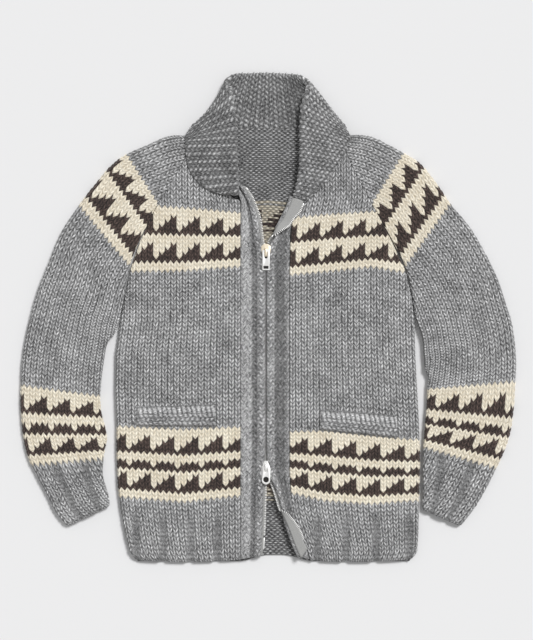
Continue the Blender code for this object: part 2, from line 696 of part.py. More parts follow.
def bail(name, legs, finish):
    """The bridge on a slider that holds its pull: two legs and a bowed bar, in the plane x = zip."""
    high_leg, low_leg = legs
    middle = (high_leg + low_leg) / 2.0
    half = (high_leg - low_leg) / 2.0
    base = PLATE_HIGH[1] - 0.4
    angles = np.radians(np.linspace(0.0, 180.0, 13))
    top = HINGE_Z + PULL_THICK / 2.0 + BAIL_CLEAR
    outer = [(middle + half * math.copysign(abs(math.cos(a)) ** 0.5, math.cos(a)),
              base + (top + BAIL_WALL - base) * math.sin(a) ** 0.6) for a in angles]
    inner = [(middle + (half - BAIL_WALL) * math.copysign(abs(math.cos(a)) ** 0.5, math.cos(a)),
              base + (top - base) * math.sin(a) ** 0.6) for a in angles]
    loop = outer + inner[::-1]
    count = len(loop)
    vertices = [(ZIP_X - BAIL_WIDTH / 2.0, y, z) for y, z in loop]
    vertices += [(ZIP_X + BAIL_WIDTH / 2.0, y, z) for y, z in loop]
    faces = []
    for index in range(count):
        after = (index + 1) % count
        faces.append((index, after, after + count, index + count))
    size = len(outer)
    for index in range(size - 1):
        quad = (index, index + 1, count - 2 - index, count - 1 - index)
        faces.append(quad)
        faces.append(tuple(value + count for value in reversed(quad)))
    return add_object(name, vertices, faces, finish)


def build_slider(name, outline, post, legs, finish):
    """A slider: upper and lower plates joined by the wedge between the two halves of the chain."""
    shifted = [(ZIP_X + x, y) for x, y in outline]
    slider = prism(name, shifted, PLATE_HIGH[0], PLATE_HIGH[1], finish)
    lower = prism(name + "_lower_plate", shifted, PLATE_LOW[0], PLATE_LOW[1], finish)
    low_y, high_y, half = post
    wedge_outline = [(ZIP_X - half, low_y), (ZIP_X + half, low_y), (ZIP_X + half, high_y), (ZIP_X - half, high_y)]
    wedge = prism(name + "_wedge", wedge_outline, PLATE_LOW[0] + 0.5, PLATE_HIGH[0] + 0.5, finish)
    bridge = bail(name + "_bail", legs, finish)
    combine(slider, wedge, "UNION")
    combine(slider, lower, "UNION")
    combine(slider, bridge, "UNION")
    return slider


def rounded(width, top, bottom, corner, steps=4):
    """A rectangle's outline with rounded corners, centred across."""
    outline = []
    corners = ((1, bottom, -90), (1, top, 0), (-1, top, 90), (-1, bottom, 180))
    for side, edge, start in corners:
        centre_x = side * (width / 2.0 - corner)
        centre_y = edge - corner if edge == top else edge + corner
        for step in range(steps + 1):
            angle = math.radians(start + 90.0 * step / steps)
            outline.append((centre_x + corner * math.cos(angle), centre_y + corner * math.sin(angle)))
    return outline


def move_outline(outline, x, y):
    """An outline moved in plan."""
    return [(px + x, py + y) for px, py in outline]


def build_top_pull(finish):
    """The top slider's pull: a long plate with an eye round the bail and a plain slot at its end."""
    width, length = TOP_PULL
    hinge = (ZIP_X, TOP_HINGE_Y, HINGE_Z)
    low = HINGE_Z - PULL_THICK / 2.0
    high = HINGE_Z + PULL_THICK / 2.0
    plate = prism("pull_top", move_outline(rounded(width, 1.1, -length, 1.0), ZIP_X, TOP_HINGE_Y),
                  low, high, finish, hinge)
    eye_width, eye_end = TOP_EYE
    eye = prism("pull_top_eye", move_outline(rounded(eye_width, -1.1, -eye_end, 2.2), ZIP_X, TOP_HINGE_Y),
                low - 1.0, high + 1.0, finish, hinge)
    slot_width, slot_height, slot_place = TOP_RECESS
    slot_outline = rounded(slot_width, slot_height / 2.0 - slot_place, -slot_height / 2.0 - slot_place, 0.5, 2)
    slot = prism("pull_top_slot", move_outline(slot_outline, ZIP_X, TOP_HINGE_Y),
                 high - 0.9, high + 1.0, finish, hinge)
    combine(plate, eye, "DIFFERENCE")
    combine(plate, slot, "DIFFERENCE")
    for solid in (plate, eye, slot):
        solid.rotation_euler = (TOP_TILT, 0.0, 0.0)
    return plate


def build_bottom_pull(finish):
    """The bottom slider's pull: a short tab that widens to a round hole."""
    width, length = BOTTOM_PULL
    hinge = (ZIP_X, BOTTOM_HINGE_Y, HINGE_Z)
    low = HINGE_Z - PULL_THICK / 2.0
    high = HINGE_Z + PULL_THICK / 2.0
    radius, place = BOTTOM_HOLE
    outline = [(-4.6, 1.1), (-5.0, -7.0)]
    for step in range(13):
        angle = math.radians(180.0 + 180.0 * step / 12.0)
        outline.append((width / 2.0 * math.cos(angle), -place - 0.8 + (length - place - 0.8) * math.sin(angle)))
    outline += [(5.0, -7.0), (4.6, 1.1)]
    plate = prism("pull_bottom", move_outline(outline, ZIP_X, BOTTOM_HINGE_Y), low, high, finish, hinge)
    eye_width, eye_end = BOTTOM_EYE
    eye = prism("pull_bottom_eye", move_outline(rounded(eye_width, -1.1, -eye_end, 1.6), ZIP_X, BOTTOM_HINGE_Y),
                low - 1.0, high + 1.0, finish, hinge)
    circle = [(radius * math.cos(a), -place + radius * math.sin(a))
              for a in np.radians(np.arange(0.0, 360.0, 22.5))]
    hole = prism("pull_bottom_hole", move_outline(circle, ZIP_X, BOTTOM_HINGE_Y),
                 low - 1.0, high + 1.0, finish, hinge)
    combine(plate, eye, "DIFFERENCE")
    combine(plate, hole, "DIFFERENCE")
    return plate


for old in list(bpy.data.objects):
    bpy.data.objects.remove(old, do_unlink=True)

knit = material("grey_knit", GREY, 0.95, 0.0)
tape = material("zip_tape", TAPE_GREY, 0.8, 0.0)
metal = material("zip_metal", METAL, 0.3, 1.0)

collar = collar_surface()
band_left = band_surface(BAND_LEFT)
band_right = band_surface(BAND_RIGHT)


def front_edge(left_side):
    """The edge of a front next to its band and the collar, as a function of the height."""
    neck = collar[:, 0, :2]
    rows = neck[neck[:, 0] < -50.0] if left_side else neck[neck[:, 0] > 50.0][::-1]
    climbing = rows[:int(np.argmax(rows[:, 1]))]
    band = np.array(BAND_LEFT if left_side else BAND_RIGHT, dtype=float)[::-1, :2]
    band = np.vstack([2.0 * band[0] - band[1], band])
    sign = -1.0 if left_side else 1.0
    gap = 2.0 * SEAM if left_side else BAND_FLARE_SEAM

    def place(y):
        if y < COLLAR_START:
            order = np.argsort(band[:, 1])
            return float(np.interp(y, band[order, 1], band[order, 0])) + sign * gap
        return float(np.interp(y, climbing[:, 1], climbing[:, 0])) + sign * COLLAR_SEAM

    return place


build_back(knit)
build_front("front_left", True, front_edge(True), knit)
build_front("front_right", False, front_edge(False), knit)
build_sleeve("sleeve_left", True, knit)
build_sleeve("sleeve_right", False, knit)
build_strip("collar", collar, knit)
build_strip("band_left", band_left, knit)
build_strip("band_right", band_right, knit)
build_welt("pocket_welt_left", WELT_LEFT, knit)
build_welt("pocket_welt_right", WELT_RIGHT, knit)
build_zip_half("zip_half_left", band_left, tape)
build_zip_half("zip_half_right", band_right, tape)
TOP_OUTLINE = ((-4.6, 98.0), (4.6, 98.0), (7.4, 111.0), (7.4, 117.0), (3.2, 120.5), (-3.2, 120.5),
               (-7.4, 117.0), (-7.4, 111.0))
build_slider("slider_top", TOP_OUTLINE, (115.0, 119.5, 1.2), TOP_BAIL, metal)
BOTTOM_OUTLINE = ((-2.6, -226.0), (-7.0, -238.0), (-7.0, -253.0), (-3.0, -260.5), (3.0, -260.5),
                  (7.0, -253.0), (7.0, -238.0), (2.6, -226.0))
build_slider("slider_bottom", BOTTOM_OUTLINE, (-260.0, -257.0, 1.0), BOTTOM_BAIL, metal)
build_top_pull(metal)
build_bottom_pull(metal)
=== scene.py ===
"""Chunky hand-knit cardigan laid out flat: every stitch raised, patterned bands, and a two-way metal zip."""

import math

import bmesh
import bpy
import numpy as np
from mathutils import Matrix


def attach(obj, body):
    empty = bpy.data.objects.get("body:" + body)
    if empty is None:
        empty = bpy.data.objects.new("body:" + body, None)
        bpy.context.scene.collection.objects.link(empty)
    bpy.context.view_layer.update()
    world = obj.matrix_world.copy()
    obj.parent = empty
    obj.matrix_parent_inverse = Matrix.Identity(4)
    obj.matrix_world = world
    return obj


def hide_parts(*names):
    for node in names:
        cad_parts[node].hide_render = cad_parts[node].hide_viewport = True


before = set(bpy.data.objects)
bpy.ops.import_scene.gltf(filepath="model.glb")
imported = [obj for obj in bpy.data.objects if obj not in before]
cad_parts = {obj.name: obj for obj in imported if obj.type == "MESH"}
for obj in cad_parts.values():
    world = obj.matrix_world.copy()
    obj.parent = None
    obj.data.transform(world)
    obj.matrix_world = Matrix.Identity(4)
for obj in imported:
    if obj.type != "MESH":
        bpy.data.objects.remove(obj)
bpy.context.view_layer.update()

# Wool
# Bulky plied wool in three colours: heather grey, cream and dark brown. The knit attribute "yarn"
# says which one a stitch is made of, and "crest" how near a point is to the top of its loop; the lower the
# crest, the more painted shade darkens the colour, and some parts lower it further to paint shade into
# grooves.


def new_node(tree, kind, **sockets):
    """A shader node with the given input values or links."""
    node = tree.nodes.new(kind)
    for name, value in sockets.items():
        socket = node.inputs[name]
        if isinstance(value, bpy.types.NodeSocket):
            tree.links.new(value, socket)
        else:
            socket.default_value = value
    return node


def math_node(tree, operation, first, second=0.0, clamp=False):
    """A Math node's output."""
    node = tree.nodes.new("ShaderNodeMath")
    node.operation = operation
    node.use_clamp = clamp
    for socket, value in zip(node.inputs, (first, second)):
        if isinstance(value, bpy.types.NodeSocket):
            tree.links.new(value, socket)
        else:
            socket.default_value = value
    return node.outputs[0]


def steps_ramp(tree, factor, colours):
    """One of a few colours, chosen by a factor of 0, 0.5 or 1."""
    node = tree.nodes.new("ShaderNodeValToRGB")
    ramp = node.color_ramp
    ramp.interpolation = "CONSTANT"
    while len(ramp.elements) < len(colours):
        ramp.elements.new(0.5)
    for index, colour in enumerate(colours):
        ramp.elements[index].position = max(0.0, (index - 0.5) / (len(colours) - 1))
        ramp.elements[index].color = (*colour, 1.0)
    tree.links.new(factor, node.inputs[0])
    return node.outputs[0]


BAR_SHARPNESS = 26.0  # how quickly a bar of the purl side falls off to both sides of its line


def purl_dash(tree, parts, row_share, column_share):
    """Short bars across the purl side, one a stitch, centred on those shares of a row and of a stitch."""
    from_line = math_node(tree, "SUBTRACT", parts.outputs[1], row_share - 0.5)
    off = math_node(tree, "SUBTRACT", math_node(tree, "FRACT", from_line), 0.5)
    square = math_node(tree, "MULTIPLY", off, off)
    across = math_node(tree, "EXPONENT", math_node(tree, "MULTIPLY", square, -BAR_SHARPNESS))
    from_middle = math_node(tree, "SUBTRACT", parts.outputs[0], column_share)
    turn = math_node(tree, "MULTIPLY", from_middle, 2.0 * math.pi)
    bar = math_node(tree, "MULTIPLY_ADD", math_node(tree, "COSINE", turn), 0.4)
    bar.node.inputs[2].default_value = 0.6
    return math_node(tree, "MULTIPLY", across, bar)


# For grey, cream and brown: the dark and the light fibres, and how much painted shade darkens the hollows
DARK_FIBRES = ((0.092, 0.092, 0.094), (0.58, 0.50, 0.37), (0.013, 0.009, 0.008))
LIGHT_FIBRES = ((0.80, 0.80, 0.805), (0.90, 0.85, 0.73), (0.135, 0.092, 0.078))
PAINTED_HOLLOW_SHADE = (1.12, 0.50, 1.05)
PAINTED_SHADE_POWER = 1.35   # how soon the colour darkens away from the top of a loop
PAINTED_LOOP_LIGHT = 1.27     # brightness at the top of a loop, as a share of the yarn's own
FLECK_CONTRAST = 3.4
FLECK_SHIFT = -1.2
PATCH_CONTRAST = 0.7
PATCH_SHIFT = -0.35
PLY_ACROSS = 24.0     # how fast the plies turn across a leg, and along the column
PLY_ALONG = 9.0
PLY_BUMP = 0.3
PURL_BUMP = 3.0


def wool_group():
    """Wool as a node group: a fleck noise drawn out along each leg of a stitch mixes the dark and light
    fibres of its yarn, painted shade darkens the hollows between the loops and a painted highlight lifts
    their tops, the Painted Shade input darkens a whole side as painted shade, and slanting plies give the
    bump height."""
    tree = bpy.data.node_groups.new("plied_wool", "ShaderNodeTree")
    tree.interface.new_socket("Painted Shade", in_out="INPUT", socket_type="NodeSocketFloat")
    tree.interface.new_socket("Purl", in_out="INPUT", socket_type="NodeSocketFloat")
    tree.interface.new_socket("Color", in_out="OUTPUT", socket_type="NodeSocketColor")
    tree.interface.new_socket("Height", in_out="OUTPUT", socket_type="NodeSocketFloat")
    entry = tree.nodes.new("NodeGroupInput")
    out = tree.nodes.new("NodeGroupOutput")
    yarn = tree.nodes.new("ShaderNodeAttribute")
    yarn.attribute_name = "yarn"
    crest = tree.nodes.new("ShaderNodeAttribute")
    crest.attribute_name = "crest"
    place = tree.nodes.new("ShaderNodeUVMap")
    place.uv_map = "stitches"
    coords = tree.nodes.new("ShaderNodeTexCoord")
    choice = math_node(tree, "MULTIPLY", yarn.outputs["Fac"], 0.5)
    dark = steps_ramp(tree, choice, DARK_FIBRES)
    light = steps_ramp(tree, choice, LIGHT_FIBRES)
    stretch = new_node(tree, "ShaderNodeMapping", Vector=place.outputs[0], Scale=(2.3, 3.4, 1.0))
    flecks = new_node(tree, "ShaderNodeTexNoise", Vector=stretch.outputs[0], Scale=1.0, Detail=3.0,
                      Roughness=0.65)
    patches = new_node(tree, "ShaderNodeTexNoise", Vector=coords.outputs["Object"], Scale=42.0, Detail=2.0)
    fibres = new_node(tree, "ShaderNodeTexNoise", Vector=coords.outputs["Object"], Scale=900.0, Detail=1.0)
    mixed = math_node(tree, "MULTIPLY_ADD", flecks.outputs["Fac"], FLECK_CONTRAST)
    mixed.node.inputs[2].default_value = FLECK_SHIFT
    uneven = math_node(tree, "MULTIPLY_ADD", patches.outputs["Fac"], PATCH_CONTRAST)
    uneven.node.inputs[2].default_value = PATCH_SHIFT
    mixed = math_node(tree, "ADD", mixed, uneven, True)
    blend = tree.nodes.new("ShaderNodeMix")
    blend.data_type = "RGBA"
    tree.links.new(mixed, blend.inputs[0])
    tree.links.new(dark, blend.inputs[6])
    tree.links.new(light, blend.inputs[7])
    parts = new_node(tree, "ShaderNodeSeparateXYZ", Vector=place.outputs[0])
    dashes = math_node(tree, "MAXIMUM", purl_dash(tree, parts, 0.25, 0.0), purl_dash(tree, parts, 0.75, 0.5))
    knit_share = math_node(tree, "SUBTRACT", 1.0, entry.outputs["Purl"])
    knit_part = math_node(tree, "MULTIPLY", crest.outputs["Fac"], knit_share)
    purl_part = math_node(tree, "MULTIPLY", dashes, entry.outputs["Purl"])
    loops = math_node(tree, "ADD", knit_part, purl_part)
    # Painted shade: the colour darkens away from the tops of the loops, and their tops are lifted above the
    # yarn's own colour as a painted highlight
    hollow_shade = math_node(tree, "POWER", loops, PAINTED_SHADE_POWER)
    depth = steps_ramp(tree, choice, [(value, value, value) for value in PAINTED_HOLLOW_SHADE])
    depth = math_node(tree, "MAXIMUM", depth, entry.outputs["Purl"])
    shade = math_node(tree, "MULTIPLY", hollow_shade, depth)
    shade = math_node(tree, "ADD", shade, math_node(tree, "SUBTRACT", PAINTED_LOOP_LIGHT, depth))
    shade = math_node(tree, "MULTIPLY", shade, entry.outputs["Painted Shade"])
    darker = tree.nodes.new("ShaderNodeVectorMath")
    darker.operation = "SCALE"
    tree.links.new(blend.outputs[2], darker.inputs[0])
    tree.links.new(shade, darker.inputs["Scale"])
    tree.links.new(darker.outputs[0], out.inputs["Color"])
    leg = math_node(tree, "PINGPONG", parts.outputs[0], 0.5)
    slant = math_node(tree, "MULTIPLY_ADD", leg, PLY_ACROSS)
    tree.links.new(math_node(tree, "MULTIPLY", parts.outputs[1], PLY_ALONG), slant.node.inputs[2])
    ply = math_node(tree, "SINE", slant)
    height = math_node(tree, "MULTIPLY_ADD", ply, PLY_BUMP)
    tree.links.new(fibres.outputs["Fac"], height.node.inputs[2])
    bar_bump = math_node(tree, "MULTIPLY", entry.outputs["Purl"], PURL_BUMP)
    height = math_node(tree, "ADD", height, math_node(tree, "MULTIPLY", loops, bar_bump))
    tree.links.new(height, out.inputs["Height"])
    return tree


def wool_material(name, painted_shade_tone, purl, group):
    """Wool: rough, with a soft sheen of loose fibres. Purl is 1 for the wrong side of stocking stitch, and
    painted_shade_tone below 1 darkens the whole colour as painted shade.
    """
    result = bpy.data.materials.new(name)
    result.use_nodes = True
    tree = result.node_tree
    shader = tree.nodes["Principled BSDF"]
    shader.inputs["Roughness"].default_value = 0.92
    shader.inputs["Sheen Weight"].default_value = 0.25
    shader.inputs["Sheen Roughness"].default_value = 0.6
    shader.inputs["Specular IOR Level"].default_value = 0.2
    wool = tree.nodes.new("ShaderNodeGroup")
    wool.node_tree = group
    wool.inputs["Painted Shade"].default_value = painted_shade_tone
    wool.inputs["Purl"].default_value = purl
    bump = new_node(tree, "ShaderNodeBump", Strength=0.55, Distance=0.0006, Height=wool.outputs["Height"])
    tree.links.new(wool.outputs["Color"], shader.inputs["Base Color"])
    tree.links.new(bump.outputs[0], shader.inputs["Normal"])
    return result


WOOL = wool_group()
KNIT_WOOL = wool_material("knit_wool", 1.0, 0.0, WOOL)
# The purl side is darkened to 0.78 as painted shade: it shows only in the shade inside the neck and between
# the zip's open ends
PURL_WOOL = wool_material("purl_wool", 0.78, 1.0, WOOL)

# How the cloth lies
# The cardigan lies on its back on the floor. These are the heights of the laid-out cloth, in
# millimetres: a 5 mm thick knit, the front over the back, and everything raised over the collar's back.

WALL = 5.0            # thickness of the knit
FLAT_TOP = 12.0       # top of the fronts and sleeves
NECK_TOP = 17.0       # the same over the back of the collar
NECK_FLOOR = 6.0      # underside of the back over the back of the collar

# Each fold is a soft ridge or trough: x0, y0, x1, y1, width, height
FOLDS = (
    (-215, 100, -150, 60, 16, 1.0), (-225, 60, -170, -40, 20, -0.8), (205, 95, 150, 50, 18, 1.0),
    (215, 40, 165, -60, 22, -0.8), (-330, 60, -270, -40, 22, 1.2), (-370, -20, -285, -110, 20, -1.0),
    (325, 40, 270, -60, 22, 1.2), (375, -30, 280, -120, 22, -0.9), (-130, -60, -90, -120, 30, 0.7),
    (110, 20, 150, -100, 28, 0.7), (-126, -84, -84, -136, 10, -1.6),
    (-296, -118, -266, -198, 10, -1.8), (-274, 60, -246, -40, 9, -1.5),
    (292, -140, 262, -202, 10, -1.8), (-238, 70, -188, 4, 9, -1.6), (234, 60, 186, -4, 9, -1.6),
    (-225, -137.0, -70, -130.0, 4.5, -3.2), (70, -140.5, 220, -149.5, 4.5, -3.2),
)


def smooth(value, low, high):
    """A ramp from 0 at low to 1 at high, level at both ends."""
    part = np.clip((np.asarray(value, dtype=float) - low) / (high - low), 0.0, 1.0)
    return part * part * (3.0 - 2.0 * part)


def neck_rise(x, y):
    """1 where the back of the collar lies under the garment, falling to 0 further down."""
    reach = (x / 150.0) ** 2 + ((y - 345.0) / 75.0) ** 2
    return 1.0 - smooth(reach, 1.3, 2.5)


def folds(x, y):
    """Height of the soft folds: each is a bell across its line, fading at its two ends."""
    total = np.zeros(np.broadcast(x, y).shape)
    for x0, y0, x1, y1, width, height in FOLDS:
        length = math.hypot(x1 - x0, y1 - y0)
        along = ((x - x0) * (x1 - x0) + (y - y0) * (y1 - y0)) / length
        across = ((x - x0) * (y1 - y0) - (y - y0) * (x1 - x0)) / length
        ends = smooth(along, 0.0, 0.3 * length) * (1.0 - smooth(along, 0.7 * length, length))
        total = total + height * ends * np.exp(-(across / width) ** 2)
    return total


def top_height(x, y):
    """Top of the fronts and sleeves over a plan point."""
    return FLAT_TOP + (NECK_TOP - FLAT_TOP) * neck_rise(x, y) + folds(x, y)


def under_height(x, y):
    """Underside of the back and sleeves over a plan point."""
    return NECK_FLOOR * neck_rise(x, y)


def edge_profile(distance, radius, turned):
    """Inset, drop and lean of a panel's rounded edge at a distance along it from the edge's end."""
    full = turned * (math.pi / 2.0)
    lean = np.maximum(full - distance / radius, 0.0)
    flat = np.maximum(distance - radius * full, 0.0)
    inset = radius * (np.sin(full) - np.sin(lean)) + flat
    drop = radius * (1.0 - np.cos(lean))
    return inset, drop, lean


# Stitches
# Stocking stitch: columns of V-shaped loops, each with two slanting legs. One stitch is about
# 9.3 mm across and 6.9 mm along its column.

LEG_SLANT = 0.85      # how far a leg drops towards the middle of its V, in rows
KNIT_RELIEF = 2.3     # height of the loops, in millimetres
EDGE_CLEAR = 0.35     # half of what a turned edge's arc stops short of its seam, in millimetres
LOOP_SEAT = 0.62      # share of the relief that lies inside a panel's plain surface
# Painted shade: the colour in the grooves between ribs is darker by this share
PAINTED_GROOVE_SHADE = 0.3    # how much darker the grooves between ribs are


def stitch_grid(first, last, rows, across, along):
    """Grid over the stitches from column first to column last, whose rows of points follow the legs.
    s runs across in stitches, tau along the yarn in rows, t is the same place along the column,
    and h runs from 0 between two columns to 1 in the middle of a V."""
    s = first + np.arange((last - first) * 2 * across + 1) / (2.0 * across)
    tau = np.arange(int(math.ceil((rows + LEG_SLANT) * along)) + 1) / along
    s, tau = np.meshgrid(s, tau)
    h = 1.0 - np.abs(2.0 * (s % 1.0) - 1.0)
    t = np.clip(tau - LEG_SLANT * h, 0.0, rows)
    return s, tau, t, h


def cut_grid(s, tau, rows, inside):
    """The same grid cut off along a panel's slanting edges: inside says which points of a row are kept, and
    each row's points beyond its last kept one are all held at the first place outside."""
    count = s.shape[1]
    first = np.maximum(np.argmax(inside, axis=1) - 1, 0)[:, None]
    last = np.minimum(count - np.argmax(inside[:, ::-1], axis=1), count - 1)[:, None]
    index = np.arange(count)[None]
    s = np.take_along_axis(s, np.clip(index, first, last), axis=1)
    h = 1.0 - np.abs(2.0 * (s % 1.0) - 1.0)
    held = (index <= first) | (index >= last)
    t = np.clip(tau - LEG_SLANT * np.where(held, 0.5, h), 0.0, rows)
    return s, t, h


def end_fade(t, rows):
    """0 at the two ends of a panel and 1 a third of a row further in."""
    return smooth(np.minimum(t, rows - t), 0.0, 0.35)


def random_field(s, t, seed):
    """A number from 0 to 1 that is the same all over one stitch and unrelated from stitch to stitch."""
    wave = np.sin(np.floor(s) * 127.1 + np.floor(t) * 311.7 + seed * 74.7) * 43758.5453
    return wave - np.floor(wave)


def knit_height(s, tau, h):
    """Height of the knit side from 0 to 1: each leg is a round yarn, high along its middle,
    low between two rows, lower between two columns and a little lower in the V."""
    across_yarn = np.abs(np.sin(math.pi * tau)) ** 0.7
    along_leg = np.interp(h, [0.0, 0.22, 0.45, 0.75, 1.0], [0.12, 0.85, 1.0, 0.95, 0.42])
    uneven = 0.88 + 0.24 * random_field(s - 1e-6, tau, 1.0)
    return along_leg * (0.28 + 0.72 * across_yarn) * np.clip(uneven, 0.0, 1.12)


def rib_groove(t):
    """Height of the purl bars that show one over another in the groove between two ribs, on the scale of the
    knit side: 0.32 between two bars and 0.72 on top of one."""
    return 0.32 + 0.40 * (0.5 + 0.5 * np.cos(2.0 * math.pi * t)) ** 0.8


def purl_height(s, t):
    """Height of the purl side from 0 to 1: in each row two lines of short bars, laid like bricks."""
    first = np.exp(-((t + 0.25) % 1.0 - 0.5) ** 2 * BAR_SHARPNESS) * (0.6 + 0.4 * np.cos(2.0 * math.pi * s))
    second = np.exp(-((t + 0.75) % 1.0 - 0.5) ** 2 * BAR_SHARPNESS) * (0.6 - 0.4 * np.cos(2.0 * math.pi * s))
    return np.maximum(first, second)


# The patterned bands, listed from the bottom row up: c is cream and d dark brown, four stitches
# to a repeat, and the first stitch of a row is the one where the cream hangs down furthest.
TEETH = ("dddd", "cddd", "ccdd", "cccd")
YOKE_CHART = ("cccc", "cccc", *TEETH, "cccc", "cccc", *TEETH, "cccc", "cccc")
LOWER_CHART = ("cccc", "cccc", *TEETH, "cccc", "dddd", "cddd", "cccc", "cccc", *TEETH, "cccc", "cccc")
YARN_CODES = {"c": 1.0, "d": 2.0}


def yarn_of(column, row, bands):
    """Yarn of each stitch: 0 is grey. A band is its chart, its first row and the column of a long cream
    stitch."""
    result = np.zeros(column.shape)
    for chart, first, start in bands:
        codes = np.array([[YARN_CODES[stitch] for stitch in line] for line in chart])
        place = np.clip(row - first, 0, len(chart) - 1).astype(int)
        inside = (row >= first) & (row < first + len(chart))
        result = np.where(inside, codes[place, (column - start).astype(int) % 4], result)
    return result


def make_shell(name, outer, inner, every, s, tau, crest, yarn, finishes, faces_up=True, inner_crest=None,
               inner_t=None):
    """One closed shell of cloth: the outer grid of points, the inner grid under every so many of its
    columns, and the rims that join them. Coinciding points are merged, which closes the cut edges.
    The last of the finishes is that of the inner side."""
    rows, columns = outer.shape[:2]
    inner_columns = inner.shape[1]
    out_index = np.arange(rows * columns).reshape(rows, columns)
    in_index = rows * columns + np.arange(rows * inner_columns).reshape(rows, inner_columns)

    def quads(index):
        corners = (index[:-1, :-1], index[:-1, 1:], index[1:, 1:], index[1:, :-1])
        return np.stack([corner.ravel() for corner in corners], axis=1)

    outside = quads(out_index)
    inside = quads(in_index)[:, ::-1]
    left = np.stack([out_index[:-1, 0], out_index[1:, 0], in_index[1:, 0], in_index[:-1, 0]], axis=1)
    right = np.stack([out_index[1:, -1], out_index[:-1, -1], in_index[:-1, -1], in_index[1:, -1]], axis=1)
    four = np.vstack([outside, inside, left, right])
    caps = []
    for row, flip in ((0, False), (rows - 1, True)):
        starts = [out_index[row, k:k + (inner_columns - 1) * every:every] for k in range(every)]
        spread = np.hstack([np.stack(starts, axis=1), out_index[row, every::every][:, None]])
        cap = np.hstack([in_index[row, :-1][:, None], in_index[row, 1:][:, None], spread[:, ::-1]])
        caps.append(cap if not flip else cap[:, ::-1])
    cap = np.vstack(caps)
    if not faces_up:
        four = four[:, ::-1]
        cap = cap[:, ::-1]
    vertices = np.vstack([outer.reshape(-1, 3), inner.reshape(-1, 3)]) * 0.001
    loops = np.concatenate([four.ravel(), cap.ravel()])
    sizes = np.concatenate([np.full(len(four), 4), np.full(len(cap), cap.shape[1])])
    mesh = bpy.data.meshes.new(name)
    mesh.vertices.add(len(vertices))
    mesh.vertices.foreach_set("co", vertices.ravel())
    mesh.loops.add(len(loops))
    mesh.loops.foreach_set("vertex_index", loops)
    mesh.polygons.add(len(sizes))
    mesh.polygons.foreach_set("loop_start", np.concatenate([[0], np.cumsum(sizes)[:-1]]))
    mesh.update(calc_edges=True)
    inner_s = s[:, ::every]
    inner_tau = tau[:, ::every] if inner_t is None else inner_t
    map_x = np.concatenate([s.ravel(), inner_s.ravel()])[loops]
    map_y = np.concatenate([tau.ravel(), inner_tau.ravel()])[loops]
    layer = mesh.uv_layers.new(name="stitches")
    layer.data.foreach_set("uv", np.stack([map_x, map_y], axis=1).ravel())
    if inner_crest is None:
        inner_crest = np.full(inner_s.shape, 0.6)
    # The crest attribute sets how much painted shade the wool's colour gets
    high = mesh.attributes.new("crest", "FLOAT", "POINT")
    high.data.foreach_set("value", np.clip(np.concatenate([crest.ravel(), inner_crest.ravel()]), 0.0, 1.0))
    face_s = np.concatenate([cell_mean(s), cell_mean(inner_s), s[:-1, 0], s[:-1, -1] - 1e-4])
    inner_row = cell_mean(inner_tau)
    inner_row = np.floor(inner_row) if inner_t is None else purl_row(inner_row)
    rim_rows = [np.floor(tau[:-1, 0]), np.floor(tau[:-1, -1])]
    face_row = np.concatenate([np.floor(cell_mean(tau)), inner_row, *rim_rows])
    face_yarn = yarn(np.floor(face_s), face_row) if yarn else np.zeros(len(face_s))
    caps_yarn = np.zeros(len(cap))
    kind = mesh.attributes.new("yarn", "FLOAT", "FACE")
    kind.data.foreach_set("value", np.concatenate([face_yarn, caps_yarn]))
    mesh.polygons.foreach_set("use_smooth", np.ones(len(sizes), dtype=bool))
    for finish in finishes:
        mesh.materials.append(finish)
    finish_of = np.zeros(len(sizes), dtype=int)
    finish_of[len(outside):len(outside) + len(inside)] = len(finishes) - 1
    mesh.polygons.foreach_set("material_index", finish_of)
    form = bmesh.new()
    form.from_mesh(mesh)
    bmesh.ops.remove_doubles(form, verts=form.verts, dist=0.00002)
    form.to_mesh(mesh)
    form.free()
    result = bpy.data.objects.new(name, mesh)
    bpy.context.scene.collection.objects.link(result)
    return result


def purl_row(tau):
    """The row whose yarn shows on the purl side: of the two lines of bars in a row the upper one is drawn
    through from two rows further on, so that two colours meet in alternating bars."""
    return np.floor(tau) + 2.0 * (tau % 1.0 > 0.6)


def cell_mean(grid):
    """Middle value of each cell of a grid."""
    return ((grid[:-1, :-1] + grid[:-1, 1:] + grid[1:, 1:] + grid[1:, :-1]) / 4.0).ravel()


# Body: back and two fronts
# Three panels knitted from the ribbed hem up to the raglan seams, with the lower band above the
# ribs and the yoke band across the chest. Each is joined to its neighbours by its own stitches.

# Raglan seam: y, then x at the left and at the right, and the share of a quarter turn that the edge makes
RAGLAN = np.array((
    (301, -105.0, 105.0, 0.0), (288, -116.0, 115.0, 0.0), (260, -132.0, 127.5, 0.0),
    (233, -147.0, 139.0, 0.0), (207, -162.0, 154.0, 0.0), (184, -177.0, 166.0, 0.0),
    (157, -190.5, 181.0, 0.08), (123, -207.0, 199.0, 0.35), (82, -221.5, 219.0, 0.8),
    (40, -230.0, 229.5, 1.0), (0, -237.0, 234.5, 1.0)))
# Side seam: y, then x at the left and at the right
SIDE = np.array((
    (-55, -245.0, 236.0), (-110, -246.0, 239.0), (-165, -244.0, 242.0), (-215, -244.0, 244.0),
    (-264, -242.0, 243.0), (-300, -238.0, 242.0), (-318, -235.0, 241.5), (-345, -230.0, 241.0),
    (-372, -223.0, 239.0), (-391, -209.0, 226.0)))
BODY_ROWS = 100
HEM_Y = -388.0
HEM_RISE = 6.0
BACK_HEM_RISE = 10.5
RIB_ROWS = 10.3
GROOVES = {"left": (-212.0, -169.0, -125.0, -82.0), "right": (78.0, 124.0, 172.0, 225.0)}
RIB_DEPTH = 3.0
HEM_SCALLOP = 0.9     # how far the ribs reach down past the grooves between them
